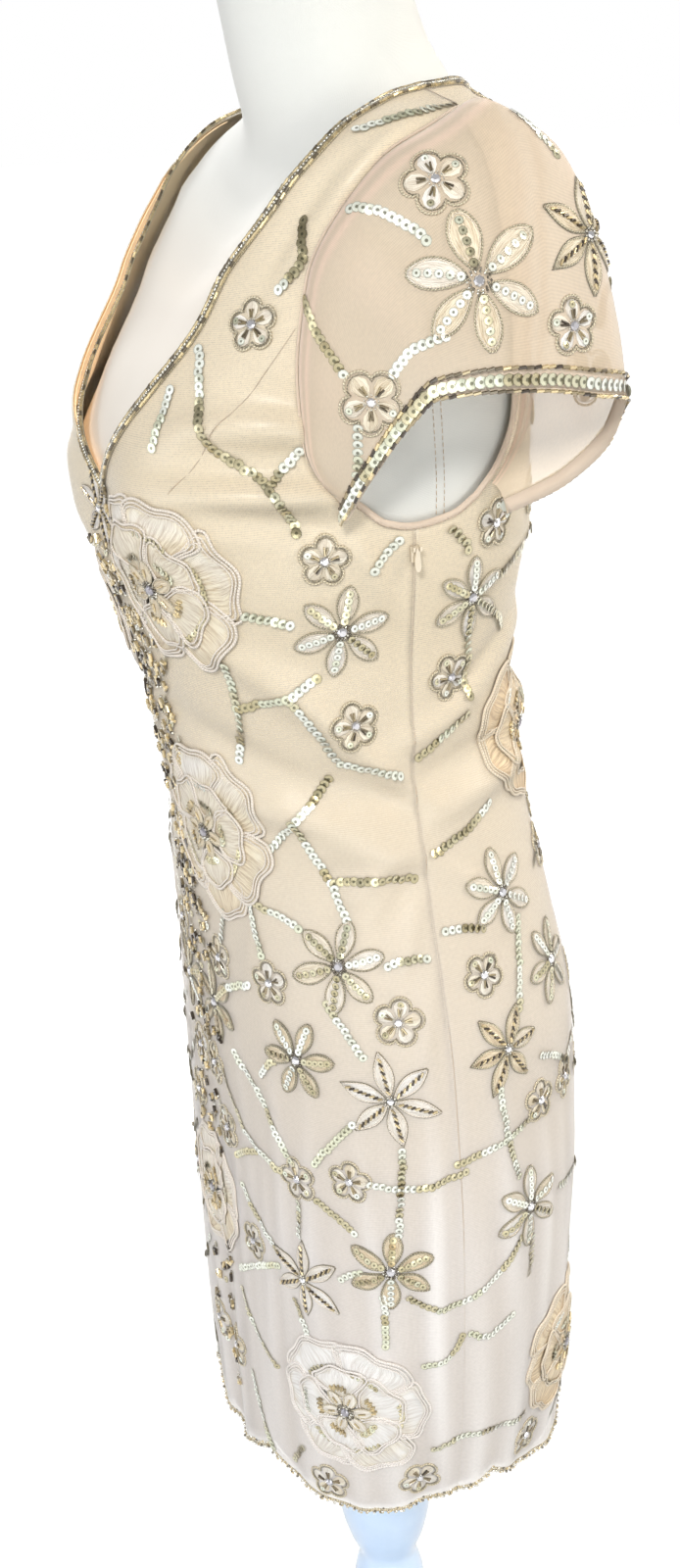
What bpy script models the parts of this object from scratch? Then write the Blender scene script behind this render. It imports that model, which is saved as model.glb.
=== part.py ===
"""Beaded cocktail dress standing on a limbless dress form with a turned stand.

Metres, +Z up, origin on the floor under the stand's axis. The front faces -Y and the
wearer's left side, where the zip is, faces +X. Angles run round the body in degrees:
0 at the left side seam, 90 at the centre back, 180 at the right side, -90 at the front.
A station is a distance up the side of the body: the height up to the shoulder's end,
then on along the shoulder to the neck and up the neck.
"""
import math

import bmesh
import bpy
import numpy as np

# ---------------------------------------------------------------- driving sizes
CLOTH = 0.0018            # wall of the mesh and its satin lining together
SLEEVE_CLOTH = 0.0012
SEAM_GAP = 0.0003
HEM_HEIGHT = 0.446        # lowest points of the scalloped edge of the cloth
SCALLOP_DEPTH = 0.020
SCALLOP_NOTCHES = (-118, -62, 10, 60.8, 119.2, 170)   # angles where two scallops meet
UNDERARM = 1.148          # station of the armhole's lowest point
V_POINT = 1.172           # station of the neckline's point on the centre front
SHOULDER_END = 1.388
NECK_SHOULDER = 1.437
SHOULDER_ANGLE = 6.0      # the shoulder seam lies a little behind the side
FOLD_COUNT = 9
FOLD_DEPTH = 0.0028
FOLD_TOP = 0.88           # the skirt's soft folds die out here
FORM_BOTTOM = 0.74
NECK_TOP = 1.56

# One row for each cross-section of the dress's outer skin, hem to neck.
SECTION_COLUMNS = ("station", "side_height", "front_height", "back_height", "half_width",
                   "front", "back", "centre", "front_fullness", "back_fullness", "ease")
SECTIONS = np.array([
    (0.42, 0.420, 0.420, 0.420, 0.1410, 0.1120, 0.1250, 0.000, 2.3, 2.3, 0.006),
    (0.52, 0.520, 0.520, 0.520, 0.1590, 0.1115, 0.1290, 0.000, 2.3, 2.3, 0.006),
    (0.60, 0.600, 0.600, 0.600, 0.1680, 0.1105, 0.1330, 0.000, 2.3, 2.3, 0.006),
    (0.70, 0.700, 0.700, 0.700, 0.1730, 0.1100, 0.1400, 0.000, 2.3, 2.3, 0.006),
    (0.79, 0.790, 0.790, 0.790, 0.1705, 0.1105, 0.1420, 0.000, 2.3, 2.3, 0.006),
    (0.87, 0.870, 0.870, 0.870, 0.1560, 0.1110, 0.1310, 0.000, 2.3, 2.3, 0.008),
    (0.93, 0.930, 0.930, 0.930, 0.1410, 0.1130, 0.1200, 0.000, 2.3, 2.3, 0.011),
    (0.99, 0.990, 0.990, 0.990, 0.1310, 0.1200, 0.1110, 0.000, 2.4, 2.3, 0.013),
    (1.06, 1.060, 1.060, 1.060, 0.1355, 0.1290, 0.1130, 0.000, 2.7, 2.3, 0.010),
    (1.13, 1.130, 1.130, 1.130, 0.1480, 0.1430, 0.1215, 0.000, 2.8, 2.4, 0.006),
    (1.18, 1.180, 1.176, 1.180, 0.1520, 0.1445, 0.1200, 0.000, 2.8, 2.6, 0.005),
    (1.24, 1.240, 1.230, 1.240, 0.1500, 0.1290, 0.1190, 0.000, 2.8, 2.8, 0.005),
    (1.30, 1.300, 1.274, 1.300, 0.1490, 0.0970, 0.1160, 0.000, 2.8, 2.8, 0.005),
    (1.35, 1.349, 1.305, 1.342, 0.1485, 0.0800, 0.0960, 0.012, 2.8, 2.7, 0.006),
    (1.37, 1.368, 1.320, 1.356, 0.1455, 0.0795, 0.0835, 0.023, 2.7, 2.6, 0.008),
    (1.39, 1.381, 1.334, 1.370, 0.1350, 0.0780, 0.0715, 0.032, 2.6, 2.5, 0.0075),
    (1.42, 1.388, 1.352, 1.386, 0.1060, 0.0710, 0.0620, 0.036, 2.4, 2.3, 0.0025),
    (1.46, 1.400, 1.377, 1.404, 0.0720, 0.0640, 0.0640, 0.030, 2.0, 2.0, 0.0006),
    (1.48, 1.416, 1.396, 1.424, 0.0620, 0.0630, 0.0610, 0.024, 2.0, 2.0, 0.001),
    (1.52, 1.455, 1.445, 1.460, 0.0570, 0.0620, 0.0600, 0.015, 2.0, 2.0, 0.001),
    (1.56, 1.498, 1.498, 1.498, 0.0580, 0.0630, 0.0610, 0.008, 2.0, 2.0, 0.001)])
BUST_STATION, BUST_ANGLE, BUST_LIFT = 1.172, 27.0, 0.013   # each cup, measured off the front
BUST_SPREAD, BUST_HEIGHT = 19.0, 0.052

# Edges of the cut pieces on the left half, as (station, angle) points.
ARMHOLE_FRONT = [(1.165, -13), (1.180, -20), (1.205, -23.5), (1.240, -24), (1.295, -21),
                 (1.335, -15), (1.360, -9), (1.374, -1), (SHOULDER_END, SHOULDER_ANGLE)]
ARMHOLE_BACK = [(1.161, 17), (1.178, 24), (1.205, 30.5), (1.260, 33), (1.320, 29),
                (1.355, 20), (1.372, 12), (SHOULDER_END, SHOULDER_ANGLE)]
UNDERARM_FRONT = [(UNDERARM, 0), (1.152, -7), (1.165, -13)]
UNDERARM_BACK = [(UNDERARM, 0), (1.1515, 10), (1.161, 17)]
NECK_FRONT = [(V_POINT, -90), (1.204, -75.5), (1.240, -62), (1.276, -50), (1.310, -42.5),
              (1.340, -33.5), (1.366, -28), (1.398, -22), (1.424, -10),
              (NECK_SHOULDER, SHOULDER_ANGLE)]
BACK_CROSSING = (1.172, 90)
NECK_BACK = [(NECK_SHOULDER, SHOULDER_ANGLE), (1.441, 30), (1.428, 60), (1.420, 90)]

# Embroidered roses sewn on as thick applique: (name, station, angle, radius, turn).
ROSES = [
    ("rose_bust_left", 1.118, -66, 0.062, 10),
    ("rose_waist_front", 0.945, -67, 0.057, 40),
    ("rose_thigh_front", 0.650, -92, 0.044, 25),
    ("rose_hem_left", 0.532, -28, 0.056, 0),
    ("rose_hem_back_left", 0.535, 36, 0.050, 60),
    ("rose_waist_back_left", 0.995, 47, 0.052, 80),
    ("rose_bust_right", 1.070, -121, 0.044, 50),
    ("rose_hem_right", 0.520, 194, 0.050, 30),
    ("rose_hem_back_right", 0.640, 128, 0.046, 15),
    ("rose_waist_right", 0.930, 172, 0.046, 65),
    ("rose_back_upper", 1.200, 96, 0.046, 35)]
ROSE_LIFT = 0.0011        # clear of the cloth's facets
ROSE_THICKNESS = 0.0022

collection = None


# ---------------------------------------------------------------- helpers
def smooth(knots, values, where):
    """Monotone cubic curve through the knots, read at where."""
    knots = np.asarray(knots, float)
    values = np.asarray(values, float)
    where = np.clip(np.asarray(where, float), knots[0], knots[-1])
    step = np.diff(knots)
    rise = np.diff(values) / step
    slope = np.zeros(len(knots))
    same_way = rise[:-1] * rise[1:] > 0
    near = 2 * step[1:] + step[:-1]
    far = step[1:] + 2 * step[:-1]
    safe = np.where(same_way, rise[:-1], 1.0), np.where(same_way, rise[1:], 1.0)
    slope[1:-1] = np.where(same_way, (near + far) / (near / safe[0] + far / safe[1]), 0.0)
    slope[0], slope[-1] = rise[0], rise[-1]
    i = np.clip(np.searchsorted(knots, where, side="right") - 1, 0, len(knots) - 2)
    t = (where - knots[i]) / step[i]
    return ((1 + 2 * t) * (1 - t) ** 2 * values[i] + t * (1 - t) ** 2 * step[i] * slope[i]
            + t ** 2 * (3 - 2 * t) * values[i + 1] + t ** 2 * (t - 1) * step[i] * slope[i + 1])


def section(name, station):
    """One column of the section table, read at a station."""
    return smooth(SECTIONS[:, 0], SECTIONS[:, SECTION_COLUMNS.index(name)], station)


def skin_point(station, angle):
    """Point of the dress's smooth outer skin."""
    station, angle = np.broadcast_arrays(np.asarray(station, float), np.asarray(angle, float))
    angle = (angle + 270) % 360 - 270
    turn = np.radians(angle)
    c, s = np.cos(turn), np.sin(turn)
    behind = s >= 0
    depth = np.where(behind, section("back", station), section("front", station))
    full = np.where(behind, section("back_fullness", station), section("front_fullness", station))
    half = section("half_width", station)
    radius = (np.abs(c / half) ** full + np.abs(s / depth) ** full) ** (-1 / full)
    off_front = np.abs(np.abs(angle + 90) - BUST_ANGLE) / BUST_SPREAD
    off_level = (station - BUST_STATION) / BUST_HEIGHT
    radius = radius + BUST_LIFT * np.exp(-off_front ** 2 - off_level ** 2)
    side = section("side_height", station)
    end = np.where(behind, section("back_height", station), section("front_height", station))
    return np.stack([radius * c, section("centre", station) + radius * s,
                     side + (end - side) * s ** 2], axis=-1)


def skin_normal(station, angle):
    """Unit normal of the skin, pointing out."""
    d_station, d_angle = 0.002, 1.0
    up = skin_point(np.add(station, d_station), angle) - skin_point(np.add(station, -d_station), angle)
    round_ = skin_point(station, np.add(angle, d_angle)) - skin_point(station, np.add(angle, -d_angle))
    normal = np.cross(round_, up)
    return normal / np.linalg.norm(normal, axis=-1, keepdims=True)


def skirt_fold(station, angle):
    """Soft vertical folds of the skirt, deepest at the hem."""
    fade = np.clip((FOLD_TOP - np.asarray(station, float)) / (FOLD_TOP - HEM_HEIGHT), 0, 1) ** 1.4
    turn = np.radians(np.asarray(angle) - 90)
    wave = np.cos(FOLD_COUNT * turn) + 0.45 * np.cos((FOLD_COUNT + 4) * turn)
    return FOLD_DEPTH * fade * wave / 1.45


def dress(station, angle, out=0.0):
    """Point on the folded cloth, moved out along the skin's normal."""
    lift = np.asarray(out + skirt_fold(station, angle))[..., None]
    return skin_point(station, angle) + lift * skin_normal(station, angle)


def along(points, t):
    """(station, angle) at shares t of the way along an edge's points."""
    points = np.array(points, float)
    reach = np.diff(points * (1.0, 0.0024), axis=0)
    length = np.concatenate([[0], np.cumsum(np.linalg.norm(reach, axis=1))])
    return np.stack([smooth(length / length[-1], points[:, k], t) for k in (0, 1)], axis=-1)


def patch(bottom, top, left, right):
    """Coons patch between four edges given as arrays of (station, angle) pairs."""
    u = np.linspace(0, 1, len(bottom))[None, :, None]
    v = np.linspace(0, 1, len(left))[:, None, None]
    across = (1 - v) * bottom[None] + v * top[None]
    upward = (1 - u) * left[:, None] + u * right[:, None]
    corners = ((1 - u) * (1 - v) * bottom[0] + u * (1 - v) * bottom[-1]
               + (1 - u) * v * top[0] + u * v * top[-1])
    return across + upward - corners


def material(name, colour, roughness, metallic=0.0):
    found = bpy.data.materials.get(name)
    if found:
        return found
    made = bpy.data.materials.new(name)
    made.use_nodes = True
    shader = made.node_tree.nodes["Principled BSDF"]
    shader.inputs["Base Color"].default_value = (*colour, 1)
    shader.inputs["Roughness"].default_value = roughness
    shader.inputs["Metallic"].default_value = metallic
    return made


def add_object(name, mesh, look):
    piece = bpy.data.objects.new(name, mesh)
    mesh.materials.append(material(*look))
    collection.objects.link(piece)
    return piece


def mesh_from_grids(name, grids, look, flip=False):
    """One open surface from grids of points that share edges."""
    bm = bmesh.new()
    for grid in grids:
        verts = [[bm.verts.new(p) for p in row] for row in grid]
        for lower, upper in zip(verts, verts[1:]):
            for j in range(len(lower) - 1):
                corners = [lower[j], lower[j + 1], upper[j + 1], upper[j]]
                bm.faces.new(corners[::-1] if flip else corners)
    bmesh.ops.remove_doubles(bm, verts=bm.verts, dist=1e-5)
    mesh = bpy.data.meshes.new(name)
    bm.to_mesh(mesh)
    bm.free()
    mesh.shade_smooth()
    return add_object(name, mesh, look)


def mirror_x(piece):
    mirror = piece.modifiers.new("other half", "MIRROR")
    mirror.merge_threshold = 1e-4


def wall(piece, thickness):
    """Give an open surface its cloth's thickness, inwards."""
    solid = piece.modifiers.new("cloth", "SOLIDIFY")
    solid.thickness = thickness
    solid.offset = -1


def mirrored_copy(piece, name):
    """Closed mirror image of a piece across the middle plane."""
    bm = bmesh.new()
    bm.from_mesh(piece.data)
    for vert in bm.verts:
        vert.co.x = -vert.co.x
    bmesh.ops.reverse_faces(bm, faces=bm.faces)
    mesh = bpy.data.meshes.new(name)
    bm.to_mesh(mesh)
    bm.free()
    mesh.shade_smooth()
    copy = bpy.data.objects.new(name, mesh)
    collection.objects.link(copy)
    for modifier in piece.modifiers:
        twin = copy.modifiers.new(modifier.name, modifier.type)
        twin.thickness = modifier.thickness
        twin.offset = modifier.offset
    return copy


def strip(name, path, normals, width, thickness, look, sides=8, closed=True):
    """Flat-oval cord laid along a path: width along the surface, thickness off it."""
    path, normals = np.asarray(path), np.asarray(normals)
    if closed:
        ahead = np.roll(path, -1, axis=0) - np.roll(path, 1, axis=0)
    else:
        ahead = np.gradient(path, axis=0)
    across = np.cross(normals, ahead)
    across /= np.linalg.norm(across, axis=1, keepdims=True)
    bm = bmesh.new()
    rings = []
    for centre, side, normal in zip(path, across, normals):
        ring = []
        for k in range(sides):
            turn = 2 * math.pi * (k + 0.5) / sides
            ring.append(bm.verts.new(centre + side * (width / 2 * math.cos(turn))
                                     + normal * (thickness / 2 * math.sin(turn))))
        rings.append(ring)
    pairs = list(zip(rings, rings[1:])) + ([(rings[-1], rings[0])] if closed else [])
    for one, two in pairs:
        for k in range(sides):
            bm.faces.new([one[k], one[(k + 1) % sides], two[(k + 1) % sides], two[k]])
    if not closed:
        bm.faces.new(rings[0][::-1])
        bm.faces.new(rings[-1])
    bmesh.ops.recalc_face_normals(bm, faces=bm.faces)
    mesh = bpy.data.meshes.new(name)
    bm.to_mesh(mesh)
    bm.free()
    mesh.shade_smooth()
    return add_object(name, mesh, look)


def turned(name, profile, look, steps=24):
    """Screw a (radius, height) profile, top to bottom, round the Z axis."""
    mesh = bpy.data.meshes.new(name)
    mesh.from_pydata([(r, 0, z) for r, z in profile], [(i, i + 1) for i in range(len(profile) - 1)], [])
    piece = add_object(name, mesh, look)
    screw = piece.modifiers.new("turning", "SCREW")
    screw.steps = screw.render_steps = steps
    screw.use_merge_vertices = True
    screw.merge_threshold = 1e-5
    return piece


SATIN = ("nude satin under mesh", (0.86, 0.74, 0.62), 0.45)
MESH = ("sheer nude mesh", (0.85, 0.72, 0.62), 0.6)
BEADS = ("bronze and gold beads", (0.42, 0.36, 0.24), 0.3, 0.7)
BINDING = ("nude binding", (0.87, 0.71, 0.62), 0.5)
EMBROIDERY = ("peach embroidery", (0.90, 0.79, 0.68), 0.55)
JERSEY = ("white jersey", (0.88, 0.87, 0.86), 0.8)
PAINT = ("white lacquer", (0.86, 0.88, 0.92), 0.35)
ZIP_METAL = ("nude lacquered metal", (0.85, 0.76, 0.66), 0.3, 0.3)


# ---------------------------------------------------------------- cut edges
def hem_station(angle):
    """Height of the scalloped lower edge of the cloth."""
    first = SCALLOP_NOTCHES[0]
    ends = np.array(SCALLOP_NOTCHES + (first + 360,), float)
    turn = (np.asarray(angle, float) - first) % 360 + first
    i = np.clip(np.searchsorted(ends, turn + 1e-6) - 1, 0, len(ends) - 2)
    lobe = np.sin(np.pi * np.clip((turn - ends[i]) / (ends[i + 1] - ends[i]), 0, 1))
    return HEM_HEIGHT + SCALLOP_DEPTH * (1 - lobe ** 0.75)


SEAM_HALF = 0.12          # degrees that each panel stops short of a side seam
LOWER_SHARES = np.concatenate([np.linspace(0, 0.5, 7)[:-1], np.linspace(0.5, 1, 13)])
UPPER_ROWS = 10
FRONT_COLUMNS = 13
BACK_COLUMNS = 12
SHOULDER_COLUMNS = 4


def underarm_row(side, columns, underarm, crossing):
    """Row of (station, angle) points from the side seam to the middle line."""
    start = np.array(underarm, float)
    start[0, 1] = side * SEAM_HALF
    rest = np.linspace(start[-1], crossing, columns - len(start) + 2)
    return start, rest


def strap_grid(side, rest, armhole, top, inner):
    """(station, angle) grid of half a strap or yoke above the underarm row."""
    outer = along(armhole, np.linspace(0, 1, UPPER_ROWS + 1))
    outer[-1, 1] += side * SEAM_HALF * 2
    return patch(rest, top, outer, inner)


def body_grid(start, rest):
    """(station, angle) grid of half a panel from the hem to the underarm row."""
    row = np.concatenate([start, rest[1:]])
    foot = hem_station(row[:, 1])
    stations = foot + (row[:, 0] - foot) * LOWER_SHARES[:, None]
    return np.stack([stations, np.broadcast_to(row[:, 1], stations.shape)], axis=-1)


def shoulder_edge(side, count):
    """The shoulder seam from its outer end to the neck."""
    seam = np.linspace((SHOULDER_END, SHOULDER_ANGLE), (NECK_SHOULDER, SHOULDER_ANGLE), count)
    seam[:, 1] += side * SEAM_HALF * 2
    return seam


def front_grids():
    """(station, angle) grids of the left front: body, then strap."""
    start, rest = underarm_row(-1, FRONT_COLUMNS, UNDERARM_FRONT, (V_POINT, -90))
    top = shoulder_edge(-1, len(rest))
    neck = along(NECK_FRONT, np.linspace(0, 1, UPPER_ROWS + 1))
    neck[-1] = top[-1]
    return body_grid(start, rest), strap_grid(-1, rest, ARMHOLE_FRONT, top, neck)


def back_neck():
    """The back panel's own edge points from the shoulder seam to the centre back."""
    rest = underarm_row(1, BACK_COLUMNS, UNDERARM_BACK, BACK_CROSSING)[1]
    return along(NECK_BACK, np.linspace(0, 1, len(rest) - SHOULDER_COLUMNS))


def back_grids():
    """(station, angle) grids of the left back: body, then yoke."""
    start, rest = underarm_row(1, BACK_COLUMNS, UNDERARM_BACK, BACK_CROSSING)
    shoulder = shoulder_edge(1, SHOULDER_COLUMNS + 1)
    neck = back_neck()
    neck[0] = shoulder[-1]
    top = np.concatenate([shoulder, neck[1:]])
    middle = np.linspace(BACK_CROSSING, NECK_BACK[-1], UPPER_ROWS + 1)
    return body_grid(start, rest), strap_grid(1, rest, ARMHOLE_BACK, top, middle)


def make_panel(name, grids, flip):
    """A panel cut in one, mirrored across the middle line and given its wall."""
    points = [dress(grid[..., 0], grid[..., 1]) for grid in grids]
    piece = mesh_from_grids(name, points, SATIN, flip=flip)
    mirror_x(piece)
    wall(piece, CLOTH)


# ---------------------------------------------------------------- sleeves
SLEEVE_START = 0.0017     # the sleeve's top edge lies this far outside the bodice's skin
SLEEVE_HEM = np.array([   # petal-shaped edge from the front tip over the arm to the back tip
    (0.1580, -0.0480, 1.1600), (0.1760, -0.0360, 1.1880), (0.1940, -0.0160, 1.2190),
    (0.2020, -0.0040, 1.2310), (0.2120, 0.0200, 1.2330), (0.2160, 0.0500, 1.2310),
    (0.2110, 0.0860, 1.2270), (0.1920, 0.1160, 1.2220), (0.1780, 0.1100, 1.2000),
    (0.1620, 0.0870, 1.1720), (0.1520, 0.0570, 1.1540)])
SLEEVE_COLUMNS = 20
SLEEVE_ROWS = 6


def armhole_loop():
    """The panels' own edge points once round the armhole, from the shoulder down the front."""
    front = along(ARMHOLE_FRONT, np.linspace(1, 0, UPPER_ROWS + 1))
    back = along(ARMHOLE_BACK, np.linspace(0, 1, UPPER_ROWS + 1))
    under = np.array(UNDERARM_FRONT[-2::-1] + UNDERARM_BACK[1:-1], float)
    return np.concatenate([front, under, back[:-1]])


def curve_3d(points, count):
    """Evenly spaced points along a smooth curve through the given ones."""
    points = np.asarray(points)
    length = np.concatenate([[0], np.cumsum(np.linalg.norm(np.diff(points, axis=0), axis=1))])
    where = np.linspace(0, length[-1], count)
    return np.stack([smooth(length, points[:, k], where) for k in range(3)], axis=-1)


def make_sleeves():
    """Sheer petal sleeve hung from the armhole seam, open under the arm."""
    front = along(ARMHOLE_FRONT, np.linspace(0.04, 1, SLEEVE_COLUMNS // 2 + 1))
    back = along(ARMHOLE_BACK, np.linspace(1, 0.04, SLEEVE_COLUMNS // 2 + 1))
    edge = np.concatenate([front, back[1:]])
    normal = skin_normal(edge[:, 0], edge[:, 1])
    seam = skin_point(edge[:, 0], edge[:, 1]) + SLEEVE_START * normal
    hem = curve_3d(SLEEVE_HEM, SLEEVE_COLUMNS + 1)
    fall = np.linalg.norm(hem - seam, axis=1, keepdims=True)
    behind = np.clip(normal[:, 1:2], 0, 1) * np.clip((seam[:, 2:3] - 1.22) / 0.12, 0, 1)
    outward = normal * (1.0, 1.0, 0.30) + (0.75, 0, 0.10) + behind * (0.0, 1.8, 2.6)
    outward /= np.linalg.norm(outward, axis=1, keepdims=True)
    rise = np.array((0.04, 0.0, 1.0))
    share = np.linspace(0, 1, SLEEVE_ROWS + 1)[:, None, None]
    first = seam + outward * fall * (0.36 + 0.22 * behind)
    last = hem + rise * fall * 0.30
    grid = ((1 - share) ** 3 * seam + 3 * (1 - share) ** 2 * share * first
            + 3 * (1 - share) * share ** 2 * last + share ** 3 * hem)
    left = mesh_from_grids("sleeve_left", [grid], MESH, flip=True)
    wall(left, SLEEVE_CLOTH)
    mirrored_copy(left, "sleeve_right")
    return grid


def make_sleeve_bands(grid):
    """Band of sequins between two rows of bronze beads along each sleeve's hem."""
    hem, above = grid[-1], grid[-2]
    ahead = np.gradient(hem, axis=0)
    normal = np.cross(ahead, above - hem)
    normal /= np.linalg.norm(normal, axis=1, keepdims=True)
    rise = np.cross(normal, ahead)
    rise /= np.linalg.norm(rise, axis=1, keepdims=True)
    width, thickness = 0.009, 0.0024
    path = hem + rise * width * 0.5 + normal * (thickness / 2 + 0.0013)
    left = strip("sleeve_bead_band_left", path, normal, width, thickness, BEADS, sides=6, closed=False)
    mirrored_copy(left, "sleeve_bead_band_right")


# ---------------------------------------------------------------- edges and trims
def whole_loop(half):
    """Join a left-hand edge that starts and ends on the middle plane with its mirror image."""
    other = half[1:-1][::-1] * (-1, 1, 1)
    return np.concatenate([half, other])


def make_neck_band():
    """Two rows of bronze beads with seed beads between, once round the neckline."""
    front = along(NECK_FRONT, np.linspace(0, 1, UPPER_ROWS + 1))
    edge = np.concatenate([front, back_neck()[1:]])
    width, thickness = 0.0066, 0.0024
    out = thickness / 2 + SEAM_GAP + 0.0003
    normals = whole_loop(skin_normal(edge[:, 0], edge[:, 1]))
    path = whole_loop(skin_point(edge[:, 0], edge[:, 1])) + normals * out
    strip("neck_bead_band", path, normals, width, thickness, BEADS, sides=6)


def make_neck_facing():
    """Nude satin facing inside the V, made from the front's own points moved in."""
    body, strap = front_grids()
    columns, rows, thickness = 3, 9, 0.0010
    pieces = [dress(grid[..., 0], grid[..., 1], -(CLOTH + 0.0007))
              for grid in (body[-2:, -columns:], strap[:rows, -columns:])]
    piece = mesh_from_grids("neck_facing", pieces, SATIN, flip=True)
    mirror_x(piece)
    wall(piece, thickness)


def make_armhole_bindings():
    """Rolled nude binding round each armhole's edge."""
    loop = armhole_loop()
    normals = skin_normal(loop[:, 0], loop[:, 1])
    edge = skin_point(loop[:, 0], loop[:, 1])
    ahead = np.roll(edge, -1, axis=0) - np.roll(edge, 1, axis=0)
    inward = np.cross(ahead, normals)
    inward /= np.linalg.norm(inward, axis=1, keepdims=True)
    middle = edge.mean(axis=0)
    inward *= np.sign(np.sum(inward * (middle - edge), axis=1, keepdims=True))
    width, thickness = 0.0044, 0.0026
    path = edge + inward * (width / 2 + SEAM_GAP + 0.0002) - normals * (CLOTH / 2)
    left = strip("armhole_binding_left", path, normals, width, thickness, BINDING, sides=6)
    mirrored_copy(left, "armhole_binding_right")


def make_hem_band():
    """Beaded rope along the scalloped hem, hung just below the cloth's edge."""
    rope = 0.0046
    front = np.concatenate(underarm_row(-1, FRONT_COLUMNS, UNDERARM_FRONT, (V_POINT, -90)))[1:, 1]
    back = np.concatenate(underarm_row(1, BACK_COLUMNS, UNDERARM_BACK, BACK_CROSSING))[1:, 1]
    half = np.unique(np.concatenate([front, (0.0,), back]))
    angles = np.concatenate([half, 180 - half[1:-1][::-1]])
    stations = hem_station(angles) - rope / 2 - SEAM_GAP - 0.0002
    normals = skin_normal(stations, angles)
    path = dress(stations, angles, -CLOTH / 2)
    strip("hem_bead_band", path, normals, rope, rope, BEADS, sides=6)


# ---------------------------------------------------------------- roses
def make_rose(name, station, angle, radius, turn):
    """Five-petalled corded rose: a padded patch raised off the cloth."""
    rings, spokes, petals = (0.36, 0.72, 1.0), 20, 5
    arm = float(np.hypot(*skin_point(station, angle)[:2]))

    def layer(lift_of):
        rows = []
        for share in rings:
            row = []
            for k in range(spokes):
                way = 2 * math.pi * k / spokes
                lobe = abs(math.cos(petals / 2 * way + math.radians(turn)))
                reach = radius * share * (1 + (0.16 * lobe - 0.12) * share)
                across, up = reach * math.cos(way), reach * math.sin(way)
                row.append(dress(station + up, angle + math.degrees(across / arm),
                                 lift_of(share, lobe)))
            rows.append(row)
        return rows

    def top_lift(share, lobe):
        dome = 0.0010 * math.cos(share * math.pi / 2) + 0.0007 * lobe * share
        return ROSE_LIFT + ROSE_THICKNESS + dome

    bm = bmesh.new()
    caps = []
    for rows, out in ((layer(top_lift), ROSE_LIFT + ROSE_THICKNESS + 0.0014),
                      (layer(lambda share, lobe: ROSE_LIFT), ROSE_LIFT)):
        verts = [[bm.verts.new(p) for p in row] for row in rows]
        hub = bm.verts.new(dress(station, angle, out))
        for k in range(spokes):
            after = (k + 1) % spokes
            bm.faces.new([hub, verts[0][k], verts[0][after]])
            for inner, outer in zip(verts, verts[1:]):
                bm.faces.new([inner[k], outer[k], outer[after], inner[after]])
        caps.append(verts)
    for k in range(spokes):
        after = (k + 1) % spokes
        bm.faces.new([caps[0][-1][k], caps[1][-1][k], caps[1][-1][after], caps[0][-1][after]])
    bmesh.ops.recalc_face_normals(bm, faces=bm.faces)
    mesh = bpy.data.meshes.new(name)
    bm.to_mesh(mesh)
    bm.free()
    mesh.shade_smooth()
    add_object(name, mesh, EMBROIDERY)


# ---------------------------------------------------------------- zip in the left side seam
ZIP_TOP = 1.138
ZIP_BOTTOM = 0.860
SLIDER_HEIGHT = 0.0085
PULL_LENGTH = 0.0150
PULL_PIVOT_OUT = 0.0042   # the pivot's distance outside the cloth's skin


def make_zip_tape():
    """Closed zip tape behind the seam."""
    stations = np.linspace(ZIP_BOTTOM, ZIP_TOP, 15)
    half_width = 0.011
    grid = []
    for share in (-1.0, 0.0, 1.0):
        angle = np.degrees(share * half_width / 0.145)
        grid.append(dress(stations, angle, -(CLOTH + 0.0012)))
    piece = mesh_from_grids("zip_tape", [np.array(grid)], BINDING, flip=True)
    wall(piece, 0.0010)


def zip_pivot():
    """Where the pull tab's axis crosses the seam, running front to back."""
    return skin_point(ZIP_TOP - 0.001, 0.0) + (PULL_PIVOT_OUT, 0, 0)


def box_mesh(name, low, high, look, bevel=0.0004):
    bm = bmesh.new()
    bmesh.ops.create_cube(bm, size=1)
    size = np.subtract(high, low)
    middle = np.add(high, low) / 2
    for vert in bm.verts:
        vert.co = middle + np.array(vert.co) * size
    mesh = bpy.data.meshes.new(name)
    bm.to_mesh(mesh)
    bm.free()
    piece = add_object(name, mesh, look)
    if bevel:
        edge = piece.modifiers.new("rounded edges", "BEVEL")
        edge.width = bevel
        edge.segments = 1
    return piece


def make_zip_slider():
    """Slider seated on the seam, with the two lugs that carry the tab's pin."""
    pivot = zip_pivot()
    skin_x = pivot[0] - PULL_PIVOT_OUT
    body = box_mesh("zip_slider", (skin_x + 0.0006, -0.0030, pivot[2] - SLIDER_HEIGHT),
                    (skin_x + 0.0024, 0.0030, pivot[2] + 0.0016), ZIP_METAL)
    for side in (-1, 1):
        lug = box_mesh("cut_lug", (skin_x + 0.0018, side * 0.0021 - 0.0007, pivot[2] - 0.0014),
                       (pivot[0] + 0.0010, side * 0.0021 + 0.0007, pivot[2] + 0.0014), ZIP_METAL, 0)
        lug.hide_render = True
        lug.display_type = "WIRE"
        join = body.modifiers.new("lug", "BOOLEAN")
        join.operation = "UNION"
        join.object = lug


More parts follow.
